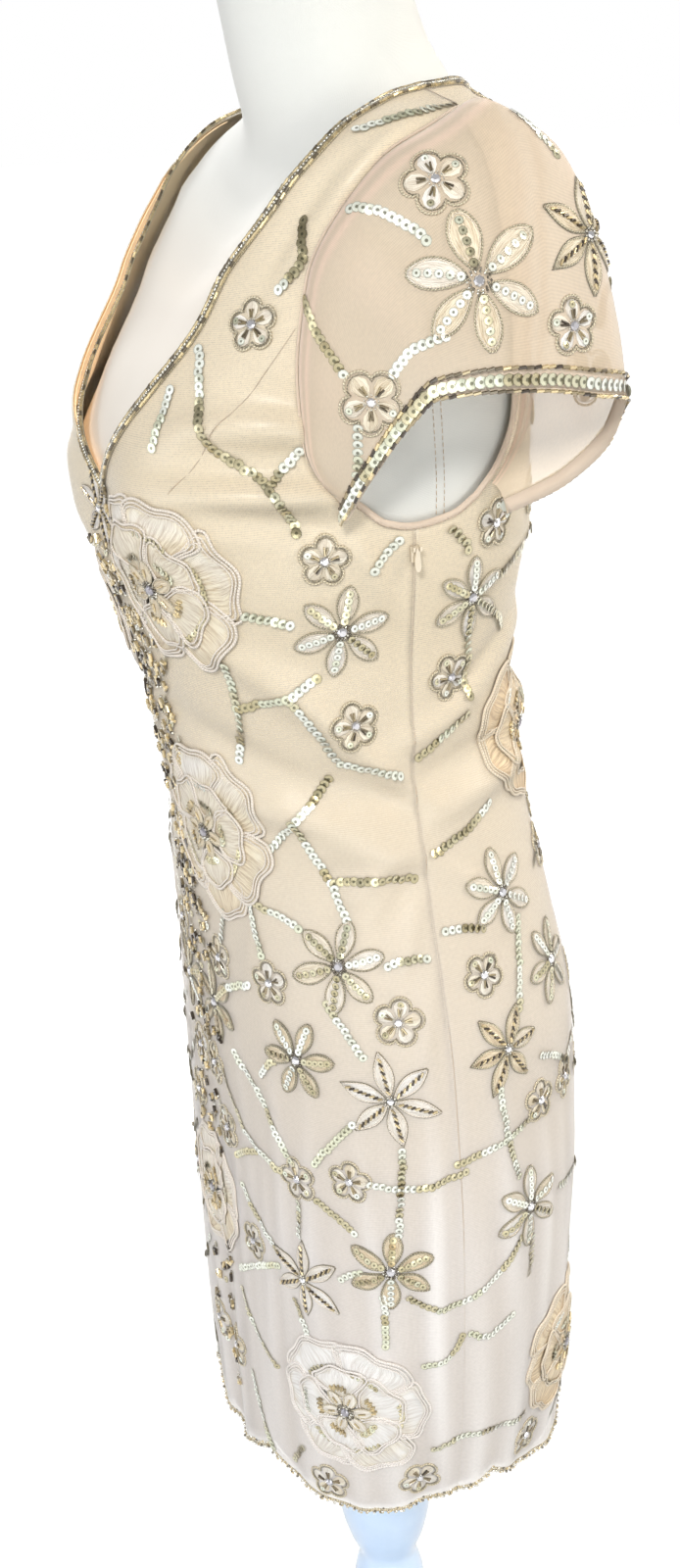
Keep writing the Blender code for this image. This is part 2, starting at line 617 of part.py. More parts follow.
def make_zip_pull():
    """Teardrop pull tab hanging from the slider's pin, its origin on the pin's axis."""
    pivot = zip_pivot()
    thickness = 0.0012
    outline = []
    for k in range(20):
        way = 2 * math.pi * k / 20
        drop = (1 - math.cos(way)) / 2
        width = 0.0011 + 0.0019 * drop ** 1.4
        outline.append((width * math.sin(way), 0.0010 - PULL_LENGTH * drop))
    bm = bmesh.new()
    front = [bm.verts.new((thickness / 2, y, z)) for y, z in outline]
    face = bm.faces.new(front)
    extruded = bmesh.ops.extrude_face_region(bm, geom=[face])
    for item in extruded["geom"]:
        if isinstance(item, bmesh.types.BMVert):
            item.co.x -= thickness
    bmesh.ops.recalc_face_normals(bm, faces=bm.faces)
    mesh = bpy.data.meshes.new("zip_pull")
    bm.to_mesh(mesh)
    bm.free()
    piece = add_object("zip_pull", mesh, ZIP_METAL)
    piece.location = pivot


# ---------------------------------------------------------------- dress form and stand
def make_form():
    """Limbless torso, neck and neck cap, clear of the cloth all round."""
    shoulder = [1.362, 1.378, 1.390, 1.405, 1.425, 1.445, 1.460, 1.475, 1.50, NECK_TOP]
    stations = np.concatenate([np.linspace(FORM_BOTTOM, 1.34, 16), shoulder])
    angles = np.arange(0, 360, 10)
    inset = -(CLOTH + section("ease", stations))[:, None]
    rings = skin_point(stations[:, None], angles[None, :]) + inset[..., None] * skin_normal(
        np.repeat(stations[:, None], len(angles), axis=1), np.repeat(angles[None, :], len(stations), axis=0))
    bm = bmesh.new()
    rows = [[bm.verts.new(p) for p in ring] for ring in rings]
    count = len(angles)
    for lower, upper in zip(rows, rows[1:]):
        for k in range(count):
            after = (k + 1) % count
            bm.faces.new([lower[k], lower[after], upper[after], upper[k]])
    bm.faces.new(rows[0][::-1])
    bm.faces.new(rows[-1])
    mesh = bpy.data.meshes.new("form_torso")
    bm.to_mesh(mesh)
    bm.free()
    mesh.shade_smooth()
    add_object("form_torso", mesh, JERSEY)

    top = rings[-1]
    middle = top.mean(axis=0)
    up = np.array((0.0, 0.0, 1.0))
    bm = bmesh.new()
    levels = ((0.985, SEAM_GAP), (1.0, 0.002), (1.0, 0.005), (0.93, 0.008), (0.75, 0.010))
    rows = [[bm.verts.new(middle + (p - middle) * grow + up * lift) for p in top[::2]]
            for grow, lift in levels]
    count = len(rows[0])
    for lower, upper in zip(rows, rows[1:]):
        for k in range(count):
            after = (k + 1) % count
            bm.faces.new([lower[k], lower[after], upper[after], upper[k]])
    bm.faces.new(rows[0][::-1])
    bm.faces.new(rows[-1])
    bmesh.ops.recalc_face_normals(bm, faces=bm.faces)
    mesh = bpy.data.meshes.new("form_neck_cap")
    bm.to_mesh(mesh)
    bm.free()
    mesh.shade_smooth()
    add_object("form_neck_cap", mesh, PAINT)


POLE_RADIUS = 0.0125
COLUMN_TOP = 0.400
BASE_HEIGHT = 0.026
BASE_RADIUS = 0.170


def make_stand():
    """Pole up into the form, turned column and round weighted base."""
    turned("stand_pole", [(0, FORM_BOTTOM - SEAM_GAP), (POLE_RADIUS, FORM_BOTTOM - SEAM_GAP),
                          (POLE_RADIUS, COLUMN_TOP + SEAM_GAP), (0, COLUMN_TOP + SEAM_GAP)], PAINT, 20)
    column = [(0, COLUMN_TOP), (0.026, COLUMN_TOP), (0.033, 0.392), (0.037, 0.375), (0.0355, 0.330),
              (0.0300, 0.304), (0.0235, 0.286), (0.0225, 0.281), (0.0250, 0.272), (0.0275, 0.258),
              (0.0270, 0.235), (0.0220, 0.180), (0.0185, 0.120), (0.0200, 0.075), (0.0270, 0.046),
              (0.0290, BASE_HEIGHT + 0.006), (0.0290, BASE_HEIGHT + SEAM_GAP), (0, BASE_HEIGHT + SEAM_GAP)]
    turned("stand_column", column, PAINT)
    base = [(0, BASE_HEIGHT), (0.040, BASE_HEIGHT), (0.090, 0.021), (0.150, 0.014), (0.166, 0.010),
            (BASE_RADIUS, 0.005), (BASE_RADIUS - 0.002, 0.0), (0, 0.0)]
    turned("stand_base", base, PAINT, 32)


def main():
    global collection
    for old in list(bpy.data.objects):
        bpy.data.objects.remove(old, do_unlink=True)
    collection = bpy.data.collections.new("cocktail_dress_on_form")
    bpy.context.scene.collection.children.link(collection)
    make_panel("front_panel", front_grids(), flip=True)
    make_panel("back_panel", back_grids(), flip=False)
    sleeve_grid = make_sleeves()
    make_sleeve_bands(sleeve_grid)
    make_neck_band()
    make_neck_facing()
    make_armhole_bindings()
    make_hem_band()
    for rose in ROSES:
        make_rose(*rose)
    make_zip_tape()
    make_zip_slider()
    make_zip_pull()
    make_form()
    make_stand()


main()
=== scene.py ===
import math

import bmesh
import bpy
import numpy as np
from mathutils import Matrix, Vector


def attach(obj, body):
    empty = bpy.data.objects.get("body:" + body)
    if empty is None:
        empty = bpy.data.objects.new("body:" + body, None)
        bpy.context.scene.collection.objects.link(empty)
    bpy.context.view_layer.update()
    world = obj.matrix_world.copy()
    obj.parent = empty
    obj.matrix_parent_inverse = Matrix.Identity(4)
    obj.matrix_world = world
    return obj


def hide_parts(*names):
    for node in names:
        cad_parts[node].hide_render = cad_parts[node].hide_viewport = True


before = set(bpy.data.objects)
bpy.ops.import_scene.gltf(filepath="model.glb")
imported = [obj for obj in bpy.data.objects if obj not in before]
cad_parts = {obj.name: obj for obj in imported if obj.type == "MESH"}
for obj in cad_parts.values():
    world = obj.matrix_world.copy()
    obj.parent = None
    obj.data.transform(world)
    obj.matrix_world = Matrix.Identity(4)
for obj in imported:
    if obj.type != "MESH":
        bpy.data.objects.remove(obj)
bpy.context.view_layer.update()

DRESS_BODY = "dress_and_form"
chance = np.random.default_rng(4127)

# ---------------------------------------------------------------- the dress's cut, in real sizes
CLOTH = 0.0018            # satin and mesh together
HALF_CLOTH = CLOTH / 2
SATIN_WALL = 0.0005
HEM_HEIGHT = 0.446
SCALLOP_DEPTH = 0.020
SCALLOP_NOTCHES = (-118, -62, 10, 60.8, 119.2, 170)
UNDERARM = 1.148
V_POINT = 1.172
SHOULDER_END = 1.388
NECK_SHOULDER = 1.437
SHOULDER_ANGLE = 6.0
FOLD_COUNT = 9
FOLD_DEPTH = 0.0028
FOLD_TOP = 0.88
FORM_BOTTOM = 0.74
NECK_TOP = 1.56
LOWEST = 0.40             # the tables of sections and reliefs start here
SECTION_COLUMNS = ("station", "side_height", "front_height", "back_height", "half_width",
                   "front", "back", "centre", "front_fullness", "back_fullness", "ease")
SECTIONS = np.array([
    (0.42, 0.420, 0.420, 0.420, 0.1410, 0.1120, 0.1250, 0.000, 2.3, 2.3, 0.006),
    (0.52, 0.520, 0.520, 0.520, 0.1590, 0.1115, 0.1290, 0.000, 2.3, 2.3, 0.006),
    (0.60, 0.600, 0.600, 0.600, 0.1680, 0.1105, 0.1330, 0.000, 2.3, 2.3, 0.006),
    (0.70, 0.700, 0.700, 0.700, 0.1730, 0.1100, 0.1400, 0.000, 2.3, 2.3, 0.006),
    (0.79, 0.790, 0.790, 0.790, 0.1705, 0.1105, 0.1420, 0.000, 2.3, 2.3, 0.006),
    (0.87, 0.870, 0.870, 0.870, 0.1560, 0.1110, 0.1310, 0.000, 2.3, 2.3, 0.008),
    (0.93, 0.930, 0.930, 0.930, 0.1410, 0.1130, 0.1200, 0.000, 2.3, 2.3, 0.011),
    (0.99, 0.990, 0.990, 0.990, 0.1310, 0.1200, 0.1110, 0.000, 2.4, 2.3, 0.013),
    (1.06, 1.060, 1.060, 1.060, 0.1355, 0.1290, 0.1130, 0.000, 2.7, 2.3, 0.010),
    (1.13, 1.130, 1.130, 1.130, 0.1480, 0.1430, 0.1215, 0.000, 2.8, 2.4, 0.006),
    (1.18, 1.180, 1.176, 1.180, 0.1520, 0.1445, 0.1200, 0.000, 2.8, 2.6, 0.005),
    (1.24, 1.240, 1.230, 1.240, 0.1500, 0.1290, 0.1190, 0.000, 2.8, 2.8, 0.005),
    (1.30, 1.300, 1.274, 1.300, 0.1490, 0.0970, 0.1160, 0.000, 2.8, 2.8, 0.005),
    (1.35, 1.349, 1.305, 1.342, 0.1485, 0.0800, 0.0960, 0.012, 2.8, 2.7, 0.006),
    (1.37, 1.368, 1.320, 1.356, 0.1455, 0.0795, 0.0835, 0.023, 2.7, 2.6, 0.008),
    (1.39, 1.381, 1.334, 1.370, 0.1350, 0.0780, 0.0715, 0.032, 2.6, 2.5, 0.0075),
    (1.42, 1.388, 1.352, 1.386, 0.1060, 0.0710, 0.0620, 0.036, 2.4, 2.3, 0.0025),
    (1.46, 1.400, 1.377, 1.404, 0.0720, 0.0640, 0.0640, 0.030, 2.0, 2.0, 0.0006),
    (1.48, 1.416, 1.396, 1.424, 0.0620, 0.0630, 0.0610, 0.024, 2.0, 2.0, 0.001),
    (1.52, 1.455, 1.445, 1.460, 0.0570, 0.0620, 0.0600, 0.015, 2.0, 2.0, 0.001),
    (1.56, 1.498, 1.498, 1.498, 0.0580, 0.0630, 0.0610, 0.008, 2.0, 2.0, 0.001)])
BUST_STATION, BUST_ANGLE, BUST_LIFT = 1.172, 27.0, 0.013
BUST_SPREAD, BUST_HEIGHT = 19.0, 0.052
ARMHOLE_FRONT = [(1.165, -13), (1.180, -20), (1.205, -23.5), (1.240, -24), (1.295, -21),
                 (1.335, -15), (1.360, -9), (1.374, -1), (SHOULDER_END, SHOULDER_ANGLE)]
ARMHOLE_BACK = [(1.161, 17), (1.178, 24), (1.205, 30.5), (1.260, 33), (1.320, 29),
                (1.355, 20), (1.372, 12), (SHOULDER_END, SHOULDER_ANGLE)]
UNDERARM_FRONT = [(UNDERARM, 0), (1.152, -7), (1.165, -13)]
UNDERARM_BACK = [(UNDERARM, 0), (1.1515, 10), (1.161, 17)]
NECK_FRONT = [(V_POINT, -90), (1.204, -75.5), (1.240, -62), (1.276, -50), (1.310, -42.5),
              (1.340, -33.5), (1.366, -28), (1.398, -22), (1.424, -10),
              (NECK_SHOULDER, SHOULDER_ANGLE)]
NECK_BACK = [(NECK_SHOULDER, SHOULDER_ANGLE), (1.441, 30), (1.428, 60), (1.420, 90)]
BACK_CROSSING = (1.172, 90)
SLEEVE_START = 0.0017
SLEEVE_HEM = np.array([
    (0.1580, -0.0480, 1.1600), (0.1760, -0.0360, 1.1880), (0.1940, -0.0160, 1.2190),
    (0.2020, -0.0040, 1.2310), (0.2120, 0.0200, 1.2330), (0.2160, 0.0500, 1.2310),
    (0.2120, 0.0860, 1.2240), (0.1940, 0.1170, 1.2140), (0.1810, 0.1130, 1.1900),
    (0.1650, 0.0900, 1.1640), (0.1530, 0.0590, 1.1500)])
ZIP_TOP, ZIP_BOTTOM = 1.138, 0.860

MESH_GAP = 0.0006         # the sheer mesh lies this far off the satin on the bodice
MESH_HANG = 0.0022        # and this much further at the hem, where it hangs free
GATHERED_FOLD = 0.0048    # height of a fold where the mesh counts as wholly gathered
HEM_TURNING = 0.008
MAP_ARM = 0.150           # usual distance from the upright axis, for the cloth maps
SAME_POINT = 2e-5         # the halves' edges are joined where their points lie this close
DRESS_METRES = (1.0, 0.0024)    # metres for one (station, degree), about
SLEEVE_METRES = (0.14, 0.4)     # metres for the whole (drop, width) of a sleeve
CORD_HEIGHT = 0.85        # of an embroidery cord's width
THICK_CORD = 0.0012       # a cord over this width is given five sides
ROUND_FORM = np.arange(0, 360, 4.0)

# Soft creases pressed into satin and mesh alike:
# (station, angle, half length, tilt from level, half width, height, bow)
CREASES = (
    (1.218, -35, 0.046, -5, 0.0075, 0.0019, 0.10), (1.197, -36, 0.056, -3, 0.0080, -0.0022, 0.08),
    (1.178, -33, 0.050, -4, 0.0075, 0.0021, 0.06), (1.160, -29, 0.036, -8, 0.0065, -0.0012, 0.0),
    (1.236, -30, 0.030, -16, 0.0060, -0.0008, 0.0), (1.185, -14, 0.022, -38, 0.0055, 0.0008, 0.0),
    (1.150, -48, 0.038, 12, 0.0080, 0.0008, 0.1), (1.126, -10, 0.040, -64, 0.0070, 0.0009, 0.0),
    (1.092, -4, 0.040, -80, 0.0060, -0.0007, 0.0), (1.058, -34, 0.062, -34, 0.0095, 0.0020, 0.10),
    (1.034, -22, 0.070, -40, 0.0085, -0.0013, 0.08), (1.010, -14, 0.066, -44, 0.0080, 0.0020, 0.06),
    (0.998, -38, 0.048, -22, 0.0080, -0.0012, 0.1), (0.978, -10, 0.040, -30, 0.0070, -0.0012, 0.0),
    (0.965, -30, 0.052, -16, 0.0085, 0.0018, 0.1), (0.942, -14, 0.040, -10, 0.0070, 0.0011, 0.0),
    (1.020, 8, 0.036, 24, 0.0070, 0.0012, 0.0), (0.992, 16, 0.050, 14, 0.0080, -0.0013, 0.1),
    (0.970, 24, 0.052, 10, 0.0080, 0.0018, 0.1), (1.048, 22, 0.040, 30, 0.0070, -0.0012, 0.0),
    (1.066, 62, 0.060, 6, 0.0100, 0.0010, 0.1), (1.030, 78, 0.075, -4, 0.0100, -0.0012, 0.1),
    (1.004, 84, 0.080, 3, 0.0105, 0.0013, -0.1), (0.976, 96, 0.072, 5, 0.0100, -0.0010, 0.1),
    (0.952, 70, 0.050, -8, 0.0095, 0.0009, 0.0), (1.110, 64, 0.050, -30, 0.0095, 0.0009, 0.0),
    (1.250, 62, 0.070, 62, 0.0110, 0.0010, 0.1), (1.300, 48, 0.050, 70, 0.0090, -0.0008, 0.0),
    (1.352, -14, 0.030, 60, 0.0070, 0.0008, 0.0), (1.330, -26, 0.040, 66, 0.0070, -0.0007, 0.0),
    (0.905, -45, 0.050, 70, 0.0100, 0.0009, 0.0), (0.900, -24, 0.055, 80, 0.0110, -0.0009, 0.0),
    (1.138, -75, 0.040, 30, 0.0090, 0.0008, 0.0), (1.020, -62, 0.050, -14, 0.0100, -0.0008, 0.0),
    (0.926, -14, 0.034, 34, 0.0060, 0.0009, 0.1), (0.905, -9, 0.030, 48, 0.0055, -0.0008, 0.1),
    (0.878, -8, 0.034, 62, 0.0055, 0.0008, 0.0), (0.858, -12, 0.036, 70, 0.0060, -0.0007, 0.0),
    (0.834, -4, 0.030, 78, 0.0050, 0.0007, 0.0), (0.918, 9, 0.030, -36, 0.0060, 0.0008, 0.0))

CREASE_DEPTH = 4.0        # the creases' heights are laid in this many times over
CREASE_SPREAD = 1.12      # and their half widths this many times
DEEPEST_CREASE = -0.0046
GAUZE_DEPTH = 1.20        # the same for the folds' heights

# Folds of the loose mesh below the hips: (angle, top station, height, half width in degrees, lean)
GAUZE = (
    (-86, 0.86, 0.0016, 3.0, 1.0), (-77, 0.90, 0.0022, 2.6, -2.0), (-69, 0.84, 0.0014, 2.4, 1.5),
    (-61.5, 0.88, 0.0026, 3.2, 2.0), (-53, 0.82, 0.0018, 2.4, -1.0), (-46.5, 0.87, 0.0030, 2.8, 2.5),
    (-40, 0.80, 0.0014, 2.2, 0.5), (-34, 0.85, 0.0024, 2.6, -2.0), (-27, 0.78, 0.0018, 2.4, 1.0),
    (-21.5, 0.86, 0.0022, 2.2, 2.5), (-14.5, 0.82, 0.0028, 2.6, -1.0), (-7, 0.92, 0.0034, 2.4, 2.0),
    (-1.0, 0.90, 0.0022, 2.0, 4.0), (5.5, 0.84, 0.0018, 2.4, -1.0), (11, 0.88, 0.0030, 2.8, 3.0),
    (18, 0.80, 0.0018, 2.4, -1.5), (23.5, 0.85, 0.0026, 2.6, 1.0), (31, 0.83, 0.0032, 3.0, 2.0),
    (38.5, 0.80, 0.0018, 2.6, -1.0), (46, 0.86, 0.0028, 3.0, -2.5), (54, 0.82, 0.0020, 2.6, 1.0),
    (63, 0.87, 0.0030, 3.2, 1.5), (71, 0.80, 0.0018, 2.6, -1.0), (79.5, 0.88, 0.0026, 3.0, -2.0))

ROSES = (   # (station, angle, radius, turn, tone: 0 whitish pink to 1 warm peach)
    (1.118, -62, 0.064, 12, 0.32), (0.945, -67, 0.057, 40, 0.30), (0.650, -92, 0.044, 25, 0.26),
    (0.539, -28, 0.055, 0, 0.0), (0.535, 36, 0.050, 60, 0.66), (0.995, 47, 0.052, 80, 0.72),
    (1.070, -121, 0.044, 50, 0.35), (0.520, 194, 0.050, 30, 0.10), (0.640, 128, 0.046, 15, 0.28),
    (0.930, 172, 0.046, 65, 0.35), (1.200, 96, 0.046, 35, 0.38))

SMALL_SIZE, DAISY_SIZE, POINTED_SIZE = 0.0158, 0.0310, 0.0330
# Flowers of the left half: (kind, station, angle, turn, share of its usual size)
FLOWERS = (
    ("small", 1.278, -34, 20, 1.0), ("small", 1.136, -21, 10, 1.0), ("small", 1.028, -16, 30, 1.0),
    ("small", 1.142, 23, 15, 1.0), ("small", 1.048, 12, 40, 1.0), ("small", 0.852, -44, 25, 1.0),
    ("small", 0.836, -11, 5, 1.05), ("small", 0.854, 11, 50, 0.95), ("small", 0.754, 23, 15, 0.95),
    ("small", 0.754, 35, 40, 0.95), ("small", 0.850, -70, 30, 1.0), ("small", 0.760, -82, 10, 1.0),
    ("small", 0.716, -74, 45, 1.0), ("small", 0.714, -38, 35, 1.0), ("small", 0.724, -24, 12, 0.95),
    ("small", 0.464, -36, 20, 0.95), ("small", 0.472, -11, 48, 0.95), ("small", 0.474, 22, 8, 0.95),
    ("small", 0.528, -80, 28, 1.0), ("small", 0.640, -60, 5, 0.9), ("daisy", 1.090, -18, 15, 1.0),
    ("daisy", 1.098, 17, 30, 0.90), ("daisy", 0.872, -24, 15, 1.0), ("daisy", 0.900, 21, 35, 0.98),
    ("daisy", 0.840, 35, 5, 0.95), ("daisy", 0.680, 18, 25, 0.98), ("bronze daisy", 0.804, -36, 5, 0.94),
    ("bronze daisy", 0.812, -76, 40, 0.95), ("bronze daisy", 0.658, -16, 25, 0.94),
    ("pointed", 1.154, -86, 20, 0.85), ("pointed", 0.784, -14, 40, 1.0),
    ("olive pointed", 0.802, 14, 5, 0.96), ("pointed", 0.636, -38, 30, 0.94),
    ("pointed", 0.674, 31, 15, 0.95))
# Flowers of the back, which come once
BACK_FLOWERS = (
    ("daisy", 1.300, 70, 20, 1.0), ("daisy", 1.120, 72, 10, 1.0), ("pointed", 1.105, 108, 25, 1.0),
    ("small", 1.352, 92, 12, 1.0), ("small", 1.262, 52, 30, 1.0), ("small", 1.290, 118, 18, 1.0),
    ("pointed", 1.230, 136, 10, 0.95), ("small", 1.062, 86, 40, 1.0), ("daisy", 0.985, 98, 30, 1.0),
    ("small", 0.930, 62, 14, 1.0), ("pointed", 0.890, 82, 45, 1.0), ("daisy", 0.850, 112, 12, 1.0),
    ("small", 0.800, 62, 33, 1.0), ("bronze daisy", 0.752, 88, 20, 1.0), ("small", 0.742, 54, 8, 1.0),
    ("daisy", 0.640, 64, 0, 1.0), ("pointed", 0.560, 92, 30, 1.0), ("small", 0.692, 104, 22, 1.0),
    ("small", 0.486, 66, 5, 1.0), ("small", 0.490, 112, 37, 1.0), ("small", 1.400, 40, 5, 0.9),
    ("small", 1.350, 128, 8, 1.0), ("daisy", 1.205, 58, 25, 1.0), ("small", 1.160, 122, 15, 1.0),
    ("daisy", 1.035, 122, 5, 1.0), ("small", 0.955, 132, 28, 1.0), ("small", 0.905, 50, 10, 1.0),
    ("olive pointed", 0.800, 132, 20, 0.95), ("small", 0.700, 72, 30, 1.0), ("small", 0.585, 112, 12, 1.0),
    ("bronze daisy", 0.722, 122, 10, 0.95), ("small", 0.600, 84, 20, 0.95), ("small", 1.150, 46, 15, 1.0),
    ("small", 1.270, 140, 12, 1.0), ("small", 1.385, 68, 25, 0.95))

# Rows of sequins on the left half, through (station, angle) points
CHAINS = (
    ((1.336, -24), (1.312, -22), (1.294, -28)),
    ((1.268, -48), (1.214, -44), (1.188, -33), (1.178, -30), (1.152, -26)), ((1.184, -31), (1.204, -24)),
    ((1.144, -3), (1.126, -11)), ((1.104, -40), (1.096, -29)), ((1.074, -46), (1.036, -46), (1.000, -50)),
    ((1.040, -46), (1.052, -32), (1.062, -24)), ((1.052, -32), (1.004, -21)), ((1.003, -21), (0.990, -4)),
    ((0.994, -23), (0.968, -32), (0.936, -45)), ((1.146, 9), (1.128, 15)), ((1.078, 17), (1.030, 18)),
    ((1.090, 22), (1.066, 35)), ((0.998, 1), (1.022, 18)), ((1.106, 27), (1.118, 42)),
    ((0.936, 2), (0.944, 12), (0.958, 24)), ((0.968, -34), (0.926, -25), (0.900, -21)),
    ((0.926, -25), (0.924, -2)), ((0.908, -49), (0.894, -33)), ((0.906, -49), (0.868, -46)),
    ((0.872, -13), (0.874, -2)), ((0.780, -50), (0.798, -43)), ((0.848, -28), (0.812, -19)),
    ((0.730, -33), (0.768, -22)), ((0.750, -12), (0.720, -13), (0.684, -14)), ((0.888, 2), (0.882, 14)),
    ((0.882, 25), (0.822, 19)), ((0.732, -1), (0.738, 10), (0.748, 22)),
    ((0.778, 11), (0.742, 12), (0.706, 15)), ((0.786, 24), (0.762, 38)),
    ((0.824, -70), (0.836, -61), (0.844, -52)), ((0.786, -64), (0.762, -50), (0.724, -40)),
    ((0.762, -76), (0.720, -55), (0.714, -43)), ((0.700, -68), (0.718, -54)),
    ((0.724, -20), (0.720, -10), (0.726, 2)), ((0.698, -38), (0.668, -39)), ((0.704, -33), (0.684, -23)),
    ((0.680, -66), (0.664, -57), (0.644, -47)), ((0.604, -72), (0.622, -58), (0.636, -47)),
    ((0.646, -28), (0.656, -22)), ((0.640, -18), (0.596, -18)),
    ((0.636, -13), (0.624, -4), (0.634, 6), (0.662, 15)), ((0.664, 19), (0.624, 18)),
    ((0.616, -42), (0.584, -38)), ((0.577, -10), (0.584, -3), (0.599, 0)),
    ((0.599, 1), (0.592, 6), (0.602, 13)), ((0.588, -72), (0.556, -60), (0.544, -52)),
    ((0.522, -68), (0.488, -64), (0.462, -59)), ((0.486, -44), (0.464, -50)),
    ((0.500, -8), (0.508, 3), (0.500, 20)), ((0.930, -58), (0.900, -62), (0.862, -68)),
    ((1.244, -55), (1.206, -58)))
BACK_CHAINS = (
    ((1.340, 92), (1.318, 82)), ((1.276, 62), (1.262, 70), (1.240, 84)), ((1.380, 60), (1.340, 68)),
    ((1.270, 116), (1.240, 108)), ((1.150, 92), (1.130, 82)), ((1.160, 104), (1.130, 108)),
    ((1.100, 78), (1.076, 84)), ((1.075, 104), (1.040, 98), (1.010, 98)), ((1.118, 46), (1.120, 58)),
    ((1.050, 82), (1.010, 90)), ((0.960, 92), (0.930, 84)), ((0.962, 106), (0.920, 112), (0.876, 112)),
    ((0.944, 60), (0.916, 74)), ((0.900, 40), (0.912, 52), (0.924, 60)), ((0.860, 80), (0.812, 66)),
    ((0.858, 84), (0.820, 88), (0.782, 88)), ((0.822, 110), (0.770, 96)),
    ((0.766, 38), (0.780, 50), (0.790, 60)), ((0.724, 84), (0.668, 68)), ((0.724, 94), (0.704, 102)),
    ((0.748, 44), (0.742, 52)), ((0.612, 70), (0.588, 84)), ((0.612, 60), (0.570, 52), (0.552, 46)),
    ((0.530, 94), (0.500, 108)), ((0.530, 88), (0.502, 70)), ((0.594, 98), (0.620, 112)),
    ((0.470, 34), (0.482, 50), (0.486, 62)), ((0.676, 30), (0.668, 46), (0.652, 56)),
    ((1.000, 124), (1.030, 132), (1.070, 138)), ((1.190, 116), (1.200, 126)),
    ((0.850, 124), (0.856, 136), (0.846, 148)), ((1.206, 70), (1.204, 84)), ((1.185, 50), (1.160, 46)),
    ((1.338, 124), (1.300, 120)), ((1.150, 118), (1.118, 112)), ((1.092, 114), (1.062, 120)),
    ((1.010, 122), (0.966, 130)), ((0.898, 54), (0.886, 70)), ((0.892, 94), (0.862, 104)),
    ((0.816, 122), (0.780, 112), (0.762, 100)), ((0.600, 106), (0.570, 100)),
    ((1.028, 62), (1.050, 72), (1.062, 80)), ((0.925, 66), (0.952, 54)), ((1.240, 58), (1.262, 54)),
    ((0.700, 78), (0.664, 84), (0.612, 84)), ((1.245, 112), (1.262, 132)), ((0.560, 104), (0.512, 112)))
# One row over each shoulder
SHOULDER_CHAIN = ((1.382, -19.5), (1.386, -6.5), (1.396, 6))
# On the sleeve: shares round from the front tip to the back tip, and down from the seam
# (kind, share round, share down, turn, share of its usual size)
SLEEVE_FLOWERS = (
    ("small", 0.42, 0.30, 10, 1.26), ("daisy", 0.41, 0.63, 20, 1.28),
    ("olive pointed", 0.585, 0.56, 30, 1.05), ("small", 0.535, 0.80, 22, 1.05),
    ("small", 0.185, 0.66, 5, 1.22), ("small", 0.80, 0.58, 10, 1.1))
SLEEVE_CHAINS = (
    ((0.35, 0.10), (0.37, 0.28), (0.385, 0.46)), ((0.25, 0.02), (0.215, 0.25), (0.19, 0.47)),
    ((0.235, 0.70), (0.29, 0.72), (0.345, 0.74)), ((0.145, 0.62), (0.105, 0.72), (0.075, 0.80)),
    ((0.52, 0.20), (0.56, 0.36)), ((0.66, 0.60), (0.74, 0.58)))
BUST_DART = ((1.272, -24.2), (1.240, -34), (1.210, -44), (1.182, -52))


# ---------------------------------------------------------------- curves and surfaces
def smooth(knots, values, where):
    """Monotone cubic curve through the knots, read at where."""
    knots, values = np.asarray(knots, float), np.asarray(values, float)
    where = np.clip(np.asarray(where, float), knots[0], knots[-1])
    step = np.diff(knots)
    rise = np.diff(values) / step
    slope = np.zeros(len(knots))
    same_way = rise[:-1] * rise[1:] > 0
    near, far = 2 * step[1:] + step[:-1], step[1:] + 2 * step[:-1]
    safe = np.where(same_way, rise[:-1], 1.0), np.where(same_way, rise[1:], 1.0)
    slope[1:-1] = np.where(same_way, (near + far) / (near / safe[0] + far / safe[1]), 0.0)
    slope[0], slope[-1] = rise[0], rise[-1]
    i = np.clip(np.searchsorted(knots, where, side="right") - 1, 0, len(knots) - 2)
    t = (where - knots[i]) / step[i]
    return ((1 + 2 * t) * (1 - t) ** 2 * values[i] + t * (1 - t) ** 2 * step[i] * slope[i]
            + t ** 2 * (3 - 2 * t) * values[i + 1] + t ** 2 * (t - 1) * step[i] * slope[i + 1])


SECTION_STEPS = np.linspace(LOWEST, NECK_TOP, 1161)
SECTION_TABLE = {name: smooth(SECTIONS[:, 0], SECTIONS[:, k], SECTION_STEPS)
                 for k, name in enumerate(SECTION_COLUMNS)}


def section(name, station):
    """One column of the section table, read at a station."""
    return np.interp(station, SECTION_STEPS, SECTION_TABLE[name])


def unit(vectors):
    """Vectors at length one."""
    return vectors / np.maximum(np.linalg.norm(vectors, axis=-1, keepdims=True), 1e-12)


def dot(one, two):
    """Dot products of rows of vectors."""
    return np.sum(one * two, axis=-1)


def lengths(path):
    """Distance run at each point of a path."""
    return np.concatenate([[0], np.cumsum(np.linalg.norm(np.diff(path, axis=0), axis=1))])


def smooth_path(knots, points, where):
    """Each column of points as a smooth curve over the knots."""
    return np.stack([smooth(knots, column, where) for column in points.T], axis=-1)


def heading(path, closed=False):
    """Unit direction of travel at each point of a path."""
    if closed:
        return unit(np.roll(path, -1, axis=0) - np.roll(path, 1, axis=0))
    return unit(np.gradient(path, axis=0))


